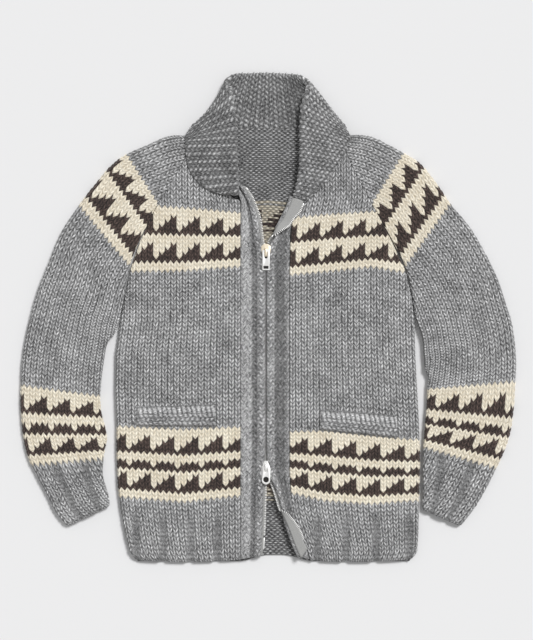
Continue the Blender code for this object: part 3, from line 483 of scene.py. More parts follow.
# Where certain rows of stitches lie: row, then y at each of the x places
GUIDE_X = {"left": (-240.0, -135.0, -44.0), "right": (36.0, 90.0, 165.0, 225.0), "back": (-170.0, 0.0, 170.0)}
GUIDES = {
    "left": (
        (14, -281, -289.5, -279), (31, -168.5, -173.5, -169.5), (68, 79, 80.5, 87.5),
        (82, 188, 181.5, 173), (100, 306, 306, 306)),
    "right": (
        (14, -274.5, -287.5, -293, -288), (31, -177.5, -176, -184, -190), (68, 74, 79, 87, 77),
        (82, 165, 170, 175, 179), (100, 306, 306, 306, 306)),
    "back": (
        (14, -284, -281, -290), (31, -175, -176, -188), (68, 79, 95, 79), (82, 184, 194, 177),
        (100, 306, 306, 306)),
}


def hem_line(x, back=False):
    """The hem's height: it dips under the middle of each front and rises to the bands and the sides."""
    if back:
        return HEM_Y + BACK_HEM_RISE * smooth(np.abs(x - 12.0), 60.0, 10.0)
    across = np.clip((np.abs(x) - 30.0) / 210.0, 0.0, 1.0)
    return HEM_Y + HEM_RISE * (1.0 - np.sin(np.pi * across) ** 0.7)


def row_place(part, t, x):
    """y of a row of stitches at x, between the guide rows."""
    table = np.array(GUIDES[part], dtype=float)
    places = np.array(GUIDE_X[part])
    lines = [hem_line(x, part == "back")] + [np.interp(x, places, row[1:]) for row in table]
    numbers = [0.0] + list(table[:, 0])
    y = lines[0]
    for below, above, start, end in zip(lines[:-1], lines[1:], numbers[:-1], numbers[1:]):
        y = y + (above - below) * np.clip((t - start) / (end - start), 0.0, 1.0)
    return y


BODY_Y = np.concatenate([SIDE[::-1, 0], RAGLAN[::-1, 0]])
BODY_EDGE = {"left": np.concatenate([SIDE[::-1, 1], RAGLAN[::-1, 1]]),
             "right": np.concatenate([SIDE[::-1, 2], RAGLAN[::-1, 2]])}
BODY_TURN = np.concatenate([np.ones(len(SIDE)), RAGLAN[::-1, 3]])


def turned_edge(y, side):
    """Edge of the body at a height: its x, the radius of its rounding, and how far it is turned."""
    edge = np.interp(y, BODY_Y, BODY_EDGE[side])
    radius = (top_height(edge, y) - under_height(edge, y)) / 2.0
    turned = np.interp(y, BODY_Y, BODY_TURN)
    turned = turned * (1.0 - 2.0 * EDGE_CLEAR / (math.pi / 2.0 * radius))
    return edge, radius, turned


def edge_distance(flat_x, y, side):
    """How far a point of the unrolled panel is from the end of its turned edge."""
    edge, radius, turned = turned_edge(y, side)
    full = turned * math.pi / 2.0
    sign = 1.0 if side == "left" else -1.0
    return sign * (flat_x - edge) + radius * (full - np.sin(full))


BACK_COLUMNS = 52
BACK_RIB = 5.0        # stitches to one rib inside the back's hem
BACK_RIB_DEPTH = 1.8
PURL_RELIEF = 1.6
EDGE_EXTRA = 3.4      # cloth that a turned side edge takes beyond its width in plan


def build_back():
    """The back, which lies on the floor: its knit side is underneath, and its purl side shows inside the neck
    and between the open ends of the zip. Both side edges turn up to meet the fronts."""

    def place(s, t):
        span_y = np.minimum(row_place("back", t, np.zeros(s.shape)), 0.0)
        left = np.interp(span_y, BODY_Y, BODY_EDGE["left"]) - EDGE_EXTRA
        right = np.interp(span_y, BODY_Y, BODY_EDGE["right"]) + EDGE_EXTRA
        flat_x = left + (right - left) * s / BACK_COLUMNS
        return flat_x, row_place("back", t, flat_x)

    def surface(s, t):
        flat_x, y = place(s, t)
        near = []
        for side, sign in (("left", 1.0), ("right", -1.0)):
            edge, radius, turned = turned_edge(y, side)
            distance = edge_distance(flat_x, y, side)
            inset, drop, lean = edge_profile(np.clip(distance, 0.0, None), radius, turned)
            way = (-sign * np.sin(lean), np.cos(lean))
            near.append((edge + sign * inset, drop, *way, smooth(distance, 0.0, 3.0)))
        x, drop, side_way, down, fade = (np.where(s <= BACK_COLUMNS / 2.0, *pair) for pair in zip(*near))
        base = np.stack([x, y, under_height(x, y) + drop], axis=2)
        normal = np.stack([side_way, np.zeros(x.shape), -down], axis=2)
        return base, normal, fade * end_fade(t, BODY_ROWS)

    s, tau, t, h = stitch_grid(0, BACK_COLUMNS, BODY_ROWS, 2, 3)
    inner_t = np.clip(tau - 0.5 * LEG_SLANT, 0.0, BODY_ROWS)
    flat_x, y = place(s, inner_t)
    inside = (edge_distance(flat_x, y, "left") > 0.0) & (edge_distance(flat_x, y, "right") > 0.0)
    s, t, h = cut_grid(s, tau, BODY_ROWS, inside)
    base, normal, fade = surface(s, t)
    crest = knit_height(s, tau, h) * fade
    outer = base + normal * (KNIT_RELIEF * (crest - 1.0))[..., None]
    inner_s, inner_t = s[:, ::2], inner_t[:, ::2]
    base, normal, fade = surface(inner_s, inner_t)
    inner_crest = purl_height(inner_s, inner_t) * fade
    ribs = 0.5 + 0.5 * np.cos(2.0 * math.pi * inner_s / BACK_RIB)
    ribs = ribs * (1.0 - smooth(inner_t, RIB_ROWS - 1.0, RIB_ROWS + 0.5))
    depth = WALL - PURL_RELIEF + PURL_RELIEF * inner_crest - BACK_RIB_DEPTH * ribs * fade
    inner = base - normal * depth[..., None]
    yarn = lambda column, row: yarn_of(column, row, ((LOWER_CHART, 14, 1), (YOKE_CHART, 68, 1)))
    return make_shell("back_knit", outer, inner, 2, s, tau, crest, yarn, (KNIT_WOOL, PURL_WOOL), False,
                      inner_crest, inner_t)


back = build_back()
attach(back, "garment")
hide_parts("back")

# Seam between a front and its band, or the collar: heights, and the seam's x at each
FRONT_SEAM = {
    "left": ((-400, 187, 190, 197, 213, 231, 256, 284, 300, 310),
             (-44.4, -44.4, -46, -60, -66, -73, -82, -94, -102, -106)),
    "right": ((-391, -381, -368, -355, -342, -326, -308, -291, -276, -262, -244, 79, 108, 121, 131, 143,
               159, 175, 187, 190, 200, 214, 232, 256, 284, 300, 310),
              (69.5, 66, 62, 56, 51, 45, 40, 37, 36, 35, 34, 34, 34.5, 35, 35.5, 36.5,
               38, 41, 44, 46, 56, 64, 73, 84, 96, 103, 106)),
}
FRONT_COLUMNS = {"left": 21, "right": 22}
HEM_ROUND = 2.0       # how far the hem's edge rounds down


def build_front(side, bands):
    """A front: from its side seam, where it turns down to meet the back, to its band and the collar.
    Its columns run straight up and are cut off along the raglan seam, and its hem is ribbed."""
    count = FRONT_COLUMNS[side]
    sign = 1.0 if side == "left" else -1.0

    def place(s, t):
        share = s / count if side == "left" else 1.0 - s / count
        y = row_place(side, t, -140.0 * sign + np.zeros(s.shape))
        for _ in range(2):
            outer_x = np.interp(np.minimum(y, 0.0), BODY_Y, BODY_EDGE[side]) - sign * EDGE_EXTRA
            seam_x = np.interp(np.minimum(y, 190.0), *FRONT_SEAM[side])
            flat_x = outer_x + (seam_x - outer_x) * share
            y = row_place(side, t, flat_x)
        distance = edge_distance(flat_x, y, side)
        return flat_x, y, distance, edge_distance(np.interp(y, *FRONT_SEAM[side]), y, side)

    s, tau, t, h = stitch_grid(0, count, BODY_ROWS, 3, 4)
    flat_x, y, distance, room = place(s, np.clip(tau - 0.5 * LEG_SLANT, 0.0, BODY_ROWS))
    s, t, h = cut_grid(s, tau, BODY_ROWS, (distance > 0.0) & (distance < np.maximum(room, 1.0)))
    flat_x, y, distance, room = place(s, t)
    edge, radius, turned = turned_edge(y, side)
    kept = np.clip(distance, 0.0, np.maximum(room, 0.0))
    turn_in = np.clip(turned * 2.0, 0.0, 1.0)
    fade = smooth(distance, -2.0 + 2.0 * turn_in, 1.0 + 2.0 * turn_in) * smooth(room - distance, -2.0, 0.8)
    fade = fade * end_fade(t, BODY_ROWS)
    inset, drop, lean = edge_profile(kept, radius, turned)
    x = edge + sign * inset
    ribs = (1.0 - smooth(t, RIB_ROWS - 2.5, RIB_ROWS + 1.5)) * (drop < 3.0)
    groove = np.zeros(x.shape)
    for centre in GROOVES[side]:
        groove += 1.0 - smooth(np.abs(x - centre), 3.0, 8.5)
    groove = groove * ribs
    y = y - HEM_SCALLOP * (1.0 - groove) * (1.0 - smooth(t, 0.0, 3.0))
    hem_round = HEM_ROUND * np.clip(1.0 - t / 0.7, 0.0, 1.0) ** 2
    base = np.stack([x, y, top_height(x, y) - drop - hem_round], axis=2)
    normal = np.stack([-sign * np.sin(lean), np.zeros(x.shape), np.cos(lean)], axis=2)
    crest = knit_height(s, tau, h) * (1.0 - groove) + rib_groove(t) * groove
    lift = KNIT_RELIEF * (crest * fade - LOOP_SEAT) - RIB_DEPTH * groove
    outer = base + normal * lift[..., None]
    inner = (base - normal * WALL)[:, ::6]
    yarn = lambda column, row: yarn_of(column, row, bands)
    # Painted shade: the colour in the rib grooves is darkened
    painted_shade = crest * (1.0 - PAINTED_GROOVE_SHADE * groove)
    return make_shell("front_" + side + "_knit", outer, inner, 6, s, tau, painted_shade, yarn,
                      (KNIT_WOOL, PURL_WOOL))


for side, bands in (("left", ((LOWER_CHART, 14, 2), (YOKE_CHART, 68, 2))),
                    ("right", ((LOWER_CHART, 14, 3), (YOKE_CHART, 68, 1)))):
    front = build_front(side, bands)
    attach(front, "garment")
    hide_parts("front_" + side)

# Sleeves
# Each sleeve is a tube knitted in rounds, with a ribbed cuff. It is joined along the raglan seams,
# and its top of the arm is the outer fold, from which the columns of stitches are counted.

# x and y of each sleeve's outer fold, from the neck to the cuff
SLEEVE_EDGE = {
    "left": (
        (-114, 298), (-129, 294), (-149, 294.5), (-169, 290.5), (-199, 277.5), (-228.5, 264),
        (-253, 245.5), (-279.5, 214.5), (-305, 181), (-333, 138), (-354, 87), (-368, 53), (-380, 12),
        (-390, -32), (-395, -69), (-397, -109), (-397, -145), (-393, -187), (-385, -221), (-368, -257),
        (-355, -281), (-342, -308), (-323, -332)),
    "right": (
        (114, 298.5), (130, 295), (148, 295), (167.5, 291.5), (192.5, 280), (218, 266), (243, 250),
        (269.5, 218), (293, 184), (323, 148), (345, 111), (366, 69), (380, 28), (391, -10), (397, -60),
        (396, -100), (393, -146), (387, -184), (376, -216), (360, -250), (345, -279), (328, -306),
        (308, -332)),
}
# x and y of its inner edge below the raglan seam
SLEEVE_INNER = {
    "left": (
        (-243, -20), (-256, -38), (-261, -62), (-265, -91), (-268, -126), (-265, -153), (-257, -187),
        (-261, -212), (-264, -246), (-259, -267), (-254, -284), (-253, -299)),
    "right": (
        (239, -36), (242, -59), (246, -76), (254, -92), (253, -112), (252, -136), (250, -164),
        (248, -187), (246.5, -215), (246, -247), (246, -276), (245, -305)),
}
SLEEVE_ROWS = 101
# Row of stitches, and the section of the table above that it lies on
SLEEVE_GUIDE = {"left": ((0, 14, 31, 69, 83, 101), (22.0, 18.22, 14.83, 7.87, 4.87, 0.0)),
                "right": ((0, 14, 31, 69, 83, 101), (22.0, 18.55, 14.9, 7.87, 4.87, 0.0))}
SLEEVE_STITCH = 9.3
SLEEVE_CROWN = 2.0
CUFF_GROOVES = (0.30, 0.72)
CUFF_ROUND = 1.8      # how far the cuff's edge rounds in
SLEEVE_HALF = 17      # columns of stitches to each side of the outer fold
RAGLAN_GAP = 0.3      # clear of the raglan seam, and of the body's side
SIDE_GAP = 0.7


def curve_through(rows, samples):
    """Points of a smooth curve through rows of numbers, at fractions of rows."""
    rows = np.asarray(rows, dtype=float)
    padded = np.vstack([2.0 * rows[0] - rows[1], rows, 2.0 * rows[-1] - rows[-2]])
    index = np.clip(np.floor(samples).astype(int), 0, len(rows) - 2)
    part = (samples - index)[..., None]
    before, start, end, after = (padded[index + k] for k in range(4))
    return 0.5 * (2.0 * start + (end - before) * part
                  + (2.0 * before - 5.0 * start + 4.0 * end - after) * part ** 2
                  + (3.0 * start - before - 3.0 * end + after) * part ** 3)


def build_sleeve(side, bands):
    """A sleeve: from its outer fold round the top and the underside to the inner edge, where both
    halves meet."""
    away = -1.0 if side == "left" else 1.0
    seam = 1 if side == "left" else 2
    raglan_rows = RAGLAN[:, (seam, 0)] + (away * RAGLAN_GAP, 0.0)
    side_rows = np.array(SLEEVE_INNER[side]) + (away * SIDE_GAP, 0.0)
    inner_rows = np.vstack([raglan_rows, side_rows])
    turn_rows = np.concatenate([RAGLAN[:, 3], np.ones(len(side_rows))])

    def section_of(t):
        section = np.interp(t, *SLEEVE_GUIDE[side])
        far = curve_through(SLEEVE_EDGE[side], section)
        near = curve_through(inner_rows, section)
        reach = np.linalg.norm(far - near, axis=2)
        top = top_height(far[..., 0], far[..., 1])
        bottom = under_height(far[..., 0], far[..., 1])
        level = (top - bottom) / 2.0
        turned = np.interp(section, np.arange(len(turn_rows)), turn_rows)
        turned = turned * (1.0 - 4.0 * EDGE_CLEAR / (math.pi * level))
        full = turned * math.pi / 2.0
        flat = reach - level - level * np.sin(full) + level * full
        return section, far, near, reach, top, bottom, level, turned, flat

    s, tau, t, h = stitch_grid(-SLEEVE_HALF, SLEEVE_HALF, SLEEVE_ROWS, 3, 4)
    *_, level, turned, flat = section_of(np.clip(tau - 0.5 * LEG_SLANT, 0.0, SLEEVE_ROWS))
    s, t, h = cut_grid(s, tau, SLEEVE_ROWS, np.abs(s) * SLEEVE_STITCH < level * math.pi / 2.0 + flat)
    section, far, near, reach, top, bottom, level, turned, flat = section_of(t)
    across = (far - near) / reach[..., None]
    arc = level * math.pi / 2.0
    out = np.abs(s) * SLEEVE_STITCH
    kept = np.minimum(out, arc + flat)
    over = (s >= 0.0) if side == "left" else (s <= 0.0)
    face = np.where(over, 1.0, -1.0)
    angle = np.minimum(kept / level, math.pi / 2.0)
    round_plan = (far - across * level[..., None]) + across * (level * np.cos(angle))[..., None]
    round_z = (top + bottom) / 2.0 + face * level * np.sin(angle)
    rest = arc + flat - kept
    inset, drop, lean = edge_profile(rest, level, turned)
    flat_plan = near + across * inset[..., None]
    flat_z = np.where(over, top_height(flat_plan[..., 0], flat_plan[..., 1]) - drop,
                      under_height(flat_plan[..., 0], flat_plan[..., 1]) + drop)
    bend = kept < arc
    share = np.clip(kept / (arc + flat), 0.0, 1.0)
    crown = SLEEVE_CROWN * np.sin(np.pi * share) ** 2 * over * smooth(section, 1.0, 2.5)
    plan = np.where(bend[..., None], round_plan, flat_plan)
    z = np.where(bend, round_z, flat_z)
    lean_out = np.where(bend, np.cos(angle), -np.sin(lean))
    lean_up = np.where(bend, np.sin(angle), np.cos(lean)) * face
    base = np.concatenate([plan, z[..., None]], axis=2)
    normal = np.concatenate([across * lean_out[..., None], lean_up[..., None]], axis=2)
    turn_in = np.clip(turned * 2.0, 0.0, 1.0)
    fade = smooth(arc + flat - out, -2.0 + 2.0 * turn_in, 1.0 + 2.0 * turn_in) * end_fade(t, SLEEVE_ROWS)
    cuff = 1.0 - smooth(t, RIB_ROWS + 1.5, RIB_ROWS + 4.7)
    groove = np.zeros(z.shape)
    for centre in CUFF_GROOVES:
        groove += 1.0 - smooth(np.abs(rest / np.maximum(flat, 1.0) - centre), 0.03, 0.085)
    groove = groove * cuff * (rest < flat)
    crest = knit_height(s, tau, h) * (1.0 - groove) + rib_groove(t) * groove
    bend_seat = LOOP_SEAT + (1.0 - LOOP_SEAT) * (face < 0) * np.sin(angle)
    settle = np.where(over, LOOP_SEAT, 1.0) * (1.0 - bend) + np.where(bend, bend_seat, 0.0)
    end_round = CUFF_ROUND * np.clip(1.0 - t / 0.7, 0.0, 1.0) ** 2
    lift = KNIT_RELIEF * (crest * fade - settle) - RIB_DEPTH * groove - end_round
    outer = base + normal * lift[..., None]
    outer[..., 2] += crown
    inner = (base - normal * WALL)[:, ::6]
    yarn = lambda column, row: yarn_of(column, row, bands)
    # Painted shade: the colour in the rib grooves is darkened
    painted_shade = crest * (1.0 - PAINTED_GROOVE_SHADE * groove)
    return make_shell("sleeve_" + side + "_knit", outer, inner, 6, s, tau, painted_shade, yarn,
                      (KNIT_WOOL, PURL_WOOL))


for side, bands in (("left", ((LOWER_CHART, 14, 1), (YOKE_CHART, 69, 1))),
                    ("right", ((LOWER_CHART, 14, 2), (YOKE_CHART, 69, 2)))):
    sleeve = build_sleeve(side, bands)
    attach(sleeve, "garment")
    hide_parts("sleeve_" + side)

# Shawl collar
# A deep strip in garter stitch, knitted on along the neck edge. It stands up, rolls over and falls
# back on the fronts, and at the back its fall lies flattened underneath. Its ridges run across it.

# Neck seam, roll and outer edge in plan, and the way the fall faces: 90 up, 0 on edge, -90 under
COLLAR = (
    (-57, 197, -51, 198, -71, 198, 90), (-64, 213, -51, 213, -99, 208, 90),
    (-71, 231, -52, 231, -121, 229, 90), (-80, 256, -53, 256, -131, 255, 90),
    (-92, 284, -54, 286, -133, 283, 90), (-100, 300, -56, 320, -132.5, 291, 80),
    (-104, 304.5, -58, 356, -134, 299, 45), (-105, 306, -64, 376, -128, 303, 0),
    (-101, 306, -52, 388, -121, 294, -45), (-50, 304, -30, 390.5, -101, 287, -90),
    (0, 303, 0, 391, 0, 286, -90), (50, 304, 32, 389.5, 100, 287, -90),
    (101, 306, 51.5, 385, 123, 296, -45), (105, 306, 63, 371, 127, 303, 0),
    (104, 304.5, 57.5, 355, 130, 298, 45), (100, 300, 54, 322, 131.5, 290, 80),
    (93, 284, 54, 287, 124, 271, 90), (81, 256, 54, 255, 111, 245, 90),
    (70, 232, 51, 227, 92, 219, 90), (61, 214, 47, 208, 74, 201, 90), (53, 200, 42, 195, 58, 186, 90),
)
COLLAR_ROLL = 3.2
COLLAR_LIFT = 3.8
COLLAR_PUFF = 6.0     # how much higher the roll stands at the front than the outer edge does
COLLAR_SAG = 26.0     # how much the fall hollows inwards at the left shoulder, where it hangs on edge
RIDGE = 12.2          # from one garter ridge to the next
BEAD = 7.8            # one stitch along a ridge
GARTER_RELIEF = 3.2
COLLAR_CONTRAST = 1.35    # power that sharpens its loops
EDGE_SETTLE = 1.6     # how much closer to the front the fall's outer edge lies
FALL_CLEAR = 0.9      # how far the hidden part of the fall is held up, so that its relief clears the floor


def garter_height(a, b, fill=0.5):
    """Height of garter stitch from 0 to 1, with a in ridges and b in stitches along them: a ridge is a line
    of slanting loops side by side, and the loops in the groove beside it are lower, by the fill."""
    ridge = (a + 0.5) % 1.0 - 0.5
    groove = a % 1.0 - 0.5
    high = np.exp(-(ridge / 0.27) ** 2) * (0.70 + 0.30 * np.cos(2.0 * math.pi * (b + 0.9 * ridge)))
    low = fill * np.exp(-(groove / 0.25) ** 2)
    low = low * (0.66 + 0.34 * np.cos(2.0 * math.pi * (b + 0.5 - 0.9 * groove)))
    return np.clip(np.maximum(high, low) * (0.84 + 0.30 * random_field(b, a + 0.5, 2.0)), 0.0, 1.0)


def collar_point(row, b):
    """Middle of the collar's cloth at a distance b from its roll line: the stand is at b below 0, then comes
    the half circle of the roll, and beyond it the fall down to the outer edge."""
    neck, roll, edge = row[..., 0:2], row[..., 2:4], row[..., 4:6]
    facing = np.radians(np.clip(row[..., 6], -90.0, 90.0))
    front = 0.5 + 0.5 * np.sin(facing)
    stand = np.linalg.norm(roll - neck, axis=-1)
    up = (roll - neck) / stand[..., None]
    side = np.sign(roll[..., 0]) * np.cos(facing)
    outward = np.stack([side * np.abs(up[..., 1]), -side * up[..., 0] * np.sign(up[..., 1])], axis=-1)

    def stand_height(plan):
        x, y = plan[..., 0], plan[..., 1]
        puff = 0.7 * COLLAR_PUFF * smooth(b, -16.0, 0.0)
        facing_up = front * (top_height(x, y) - WALL / 2.0 + puff)
        return facing_up + (1.0 - front) * (under_height(x, y) + WALL / 2.0)

    def fall_height(plan):
        lift = COLLAR_LIFT + COLLAR_PUFF - (COLLAR_PUFF + EDGE_SETTLE) * np.clip(past, 0.0, 1.0)
        facing_up = front * (top_height(plan[..., 0], plan[..., 1]) + lift)
        return facing_up + (1.0 - front) * (WALL / 2.0 + FALL_CLEAR)

    gap = 2.0 * COLLAR_ROLL * outward
    bend_length = math.pi * COLLAR_ROLL
    low = roll + up * np.minimum(b, 0.0)[..., None]
    fall_start = roll + gap
    fall_length = np.linalg.norm(edge - fall_start, axis=-1)
    past = np.maximum(b - bend_length, 0.0) / fall_length
    start_z = stand_height(roll)
    rise = fall_height(fall_start) - start_z
    angle = np.clip(b / bend_length, 0.0, 1.0) * math.pi
    over = (1.0 - np.cos(angle)) / 2.0
    bend = roll + up * (COLLAR_ROLL * np.sin(angle))[..., None] + gap * over[..., None]
    bend_z = start_z + rise * (1.0 - np.cos(angle)) / 2.0
    sag = COLLAR_SAG * np.cos(facing) * (roll[..., 0] < 0.0) * past * (1.0 - past)
    fall = fall_start + (edge - fall_start) * past[..., None] - outward * sag[..., None]
    plan = np.where((b <= 0.0)[..., None], low, np.where((b < bend_length)[..., None], bend, fall))
    z = np.where(b <= 0.0, stand_height(low), np.where(b < bend_length, bend_z, fall_height(fall)))
    return np.concatenate([plan, z[..., None]], axis=-1), stand, bend_length + fall_length


def strip_normals(surface, b, clip_low, clip_high):
    """Unit normals of a surface of (row, b), from small steps across it and from row to row along it."""
    ahead = surface(np.minimum(b + 0.6, clip_high + 0.6))
    behind = surface(np.maximum(b - 0.6, clip_low - 0.6))
    along = np.gradient(surface(b), axis=0)
    normal = np.cross(ahead - behind, along)
    return normal / np.maximum(np.linalg.norm(normal, axis=-1, keepdims=True), 1e-9)


def build_collar():
    """The collar: garter ridges at even steps along its roll line, beads at even steps away from it. Its
    colour carries painted shade towards the inside of the neck, deeper on the right side."""
    rows = np.array(COLLAR, dtype=float)
    dense = curve_through(rows, np.linspace(0.0, len(rows) - 1.0, 1201))
    middle = 0.72 * dense[:, 2:4] + 0.28 * dense[:, 0:2]
    length = np.concatenate([[0.0], np.cumsum(np.linalg.norm(np.diff(middle, axis=0), axis=1))])
    ridges = length[-1] / RIDGE
    a = np.linspace(0.0, ridges, int(ridges * 9) + 1)
    row = np.stack([np.interp(a * RIDGE, length, dense[:, k]) for k in range(7)], axis=1)
    steps = np.arange(-53, 59) / 4.8
    a_grid, b_grid = np.meshgrid(a, steps, indexing="ij")
    row_grid = np.broadcast_to(row[:, None], (len(a), len(steps), 7))
    _, low, high = collar_point(row_grid, b_grid * BEAD)
    flat_b = b_grid * BEAD
    kept = np.clip(flat_b, -low, high)
    surface = lambda b: collar_point(row_grid, b)[0]
    normal = strip_normals(surface, kept, -low, high)
    centre = surface(kept)
    fade = smooth(np.minimum(flat_b + low, high - flat_b), -1.0, 3.5)
    ends = smooth(np.minimum(a_grid, ridges - a_grid), 0.0, 0.3)
    fill = 0.68 + 0.26 * smooth(a_grid, 0.30 * ridges, 0.40 * ridges)
    crest_a = garter_height(a_grid, b_grid, fill) ** COLLAR_CONTRAST
    crest_b = garter_height(a_grid + 0.5, b_grid + 0.5, fill) ** COLLAR_CONTRAST

    def relief(crest):
        return (WALL / 2.0 - 0.9 + GARTER_RELIEF * (crest * fade * ends - 0.45))[..., None]

    outer = centre + normal * relief(crest_a)
    inner = centre - normal * relief(crest_b)
    # Painted shade: the colour darkens towards the inside of the neck, and more so on the right, where the
    # roll's shadow falls
    painted_neck_shade = smooth(-kept, -2.0, 6.0)
    painted_shade = 1.0 - painted_neck_shade * (0.16 + 0.34 * smooth(centre[..., 0], 0.0, 55.0))
    return make_shell("collar_knit", outer, inner, 1, b_grid, a_grid * 2.0, crest_a * painted_shade, None,
                      (KNIT_WOOL,), True, crest_b * painted_shade)


collar = build_collar()
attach(collar, "garment")
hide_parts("collar")

# Front bands
# A narrow knitted band along each front edge, with a valley and a raised ridge beside the zip. The
# right band's free ends, above and below the zip, are turned back over the front.

# Seam to the front, fold line and zip edge in plan, and how far the edge is turned back
BAND_ROWS = {
    "left": (
        (-59, 214, -55, 214, -41, 214, 0), (-50, 202, -46, 202, -33, 202, 0),
        (-44, 190, -41, 190, -27, 191, 0), (-44, 172, -38, 172, -20, 173, 0),
        (-44, 156, -34, 156, -15.5, 157, 0), (-44, 138, -32, 138, -13.5, 139, 0),
        (-44, 121, -31, 121, -10.5, 121, 0), (-44, 108, -28, 108, -5.8, 108, 0),
        (-44, 79, -25, 79, -5.3, 79, 0), (-44, 5, -25, 5, -5.3, 5, 0),
        (-44, -70, -25, -70, -5.3, -70, 0), (-44, -145, -25, -145, -5.3, -145, 0),
        (-44, -215, -25, -215, -5.3, -215, 0), (-44, -244, -25, -244, -5.4, -244, 0),
        (-44, -262, -25, -262, -7.2, -262, 0), (-44, -289, -25, -289, -8.2, -289, 0),
        (-44, -316, -26, -316, -9.0, -316, 0), (-44, -350, -26, -349, -10.2, -348, 0),
        (-44, -384, -26, -381, -12.0, -379, 0)),
    "right": (
        (43, 196, 39, 196, 54, 189, 1), (41, 184, 35, 184, 48, 175, 1),
        (39, 171, 29, 171, 37.5, 162.5, 1), (37, 159, 23, 159, 30, 151.5, 1),
        (35.5, 147, 17.5, 147, 19, 143.5, 0.8), (34.5, 138, 18, 138, 11.8, 136.5, 0.5),
        (34, 129.5, 19.5, 129.5, 8.2, 129, 0.22), (34, 121, 18, 121, 2.5, 121, 0),
        (33.5, 108, 17, 108, -1.9, 108, 0), (33, 79, 17, 79, -2.4, 79, 0), (33, 5, 17, 5, -2.4, 5, 0),
        (33, -70, 17, -70, -2.4, -70, 0), (33, -145, 17, -145, -2.4, -145, 0),
        (33, -215, 17, -215, -2.4, -215, 0), (33, -244, 17, -244, -1.6, -244, 0),
        (34, -262, 22, -262, 7.2, -262, 0), (35, -277, 26, -277, 13.0, -276, 0.15),
        (37, -292, 28, -291, 17.6, -289.5, 0.35), (40, -306, 29, -305, 22.0, -303.5, 0.55),
        (44, -324, 30, -322, 32, -316, 0.9), (50, -342, 35.5, -340, 43, -331, 1),
        (55, -355, 40, -353, 49.5, -343, 1), (61, -370, 46, -368, 54.5, -355, 1),
        (65, -384, 52, -381, 61, -368, 1)),
}
BAND_ROLL = 3.2
BAND_LIFT = 2.0


def band_point(row, b):
    """Middle of a band's cloth at a share b of its width: flat from the seam to the fold line, then bent
    round by the row's share of a half turn, then flat again to the zip edge."""
    seam, fold, edge = row[..., 0:2], row[..., 2:4], row[..., 4:6]
    turn = np.maximum(np.clip(row[..., 6], 0.0, 1.0), 0.001) * math.pi
    out = (fold - seam) / np.linalg.norm(fold - seam, axis=-1, keepdims=True)
    bend_length = math.pi * BAND_ROLL
    radius = bend_length / turn
    flat_length = np.linalg.norm(fold - seam, axis=-1)
    bend_end = fold + out * (radius * np.sin(turn))[..., None]
    flap_length = np.linalg.norm(edge - bend_end, axis=-1)
    total = flat_length + bend_length + flap_length
    distance = b * total
    flat = seam + (fold - seam) * (distance / flat_length)[..., None]
    angle = np.clip((distance - flat_length) / bend_length, 0.0, 1.0) * turn
    bend = fold + out * (radius * np.sin(angle))[..., None]
    bend_z = radius * (1.0 - np.cos(angle))
    past = (distance - flat_length - bend_length) / flap_length
    flap = bend_end + (edge - bend_end) * past[..., None]
    flap_z = radius * (1.0 - np.cos(turn)) + 0.3 * np.sin(turn) * flap_length * past
    first = distance < flat_length
    second = distance < flat_length + bend_length
    plan = np.where(first[..., None], flat, np.where(second[..., None], bend, flap))
    z = np.where(first, 0.0, np.where(second, bend_z, flap_z))
    lift = BAND_LIFT * (1.0 - np.clip(row[..., 6], 0.0, 1.0)) * smooth(b, 0.3, 1.0)
    z = FLAT_TOP - WALL / 2.0 + z + lift
    return np.concatenate([plan, z[..., None]], axis=-1), flap_length / total


def band_rows(side, rows_y):
    """Rows of the band's table at even steps along it."""
    table = np.array(BAND_ROWS[side], dtype=float)
    dense = curve_through(table, np.linspace(0.0, len(table) - 1.0, 1201))
    length = np.concatenate([[0.0], np.cumsum(np.linalg.norm(np.diff(dense[:, 0:2], axis=0), axis=1))])
    places = length[-1] * (1.0 - rows_y)
    return np.stack([np.interp(places, length, dense[:, k]) for k in range(7)], axis=-1)


def band_frame(side, v, b):
    """Place on a band's middle surface at a share v of its length, from the hem, and b of its width, with
    the directions across the band towards the zip, along it, and out of its right side."""
    row = band_rows(side, v)
    centre = band_point(row, b)[0]
    ahead = band_point(band_rows(side, np.clip(v + 0.005, 0.0, 1.0)), b)[0]
    behind = band_point(band_rows(side, np.clip(v - 0.005, 0.0, 1.0)), b)[0]
    across = band_point(row, b + 0.01)[0] - band_point(row, b - 0.01)[0]
    along = (ahead - behind) / np.linalg.norm(ahead - behind, axis=-1, keepdims=True)
    across = across / np.linalg.norm(across, axis=-1, keepdims=True)
    out = np.cross(across, along) * (1.0 if side == "left" else -1.0)
    return centre, across, along, out / np.linalg.norm(out, axis=-1, keepdims=True)


BAND_STITCHES = 4
BAND_LENGTH = 85
# Height of the band across its width, from the seam: a garter strip, a valley, and the ridge beside the zip
BAND_PROFILE = {
    "left": ((0.0, 0.10, 0.42, 0.50, 0.62, 0.70, 0.86, 1.0), (-0.4, 0.9, 1.0, -2.0, -2.2, 0.9, 1.6, -0.2)),
    "right": ((0.0, 0.12, 0.30, 0.60, 0.70, 0.86, 1.0), (-0.4, 0.0, -3.0, -3.2, 0.9, 1.6, -0.2)),
}
BAND_RIDGE = 11.4
BAND_WIDTH = 38.0
BAND_ROW = 7.0        # one row of stitches along the band
STRIP_FILL = 0.3      # how far the left band's outer strip is filled up between its loops


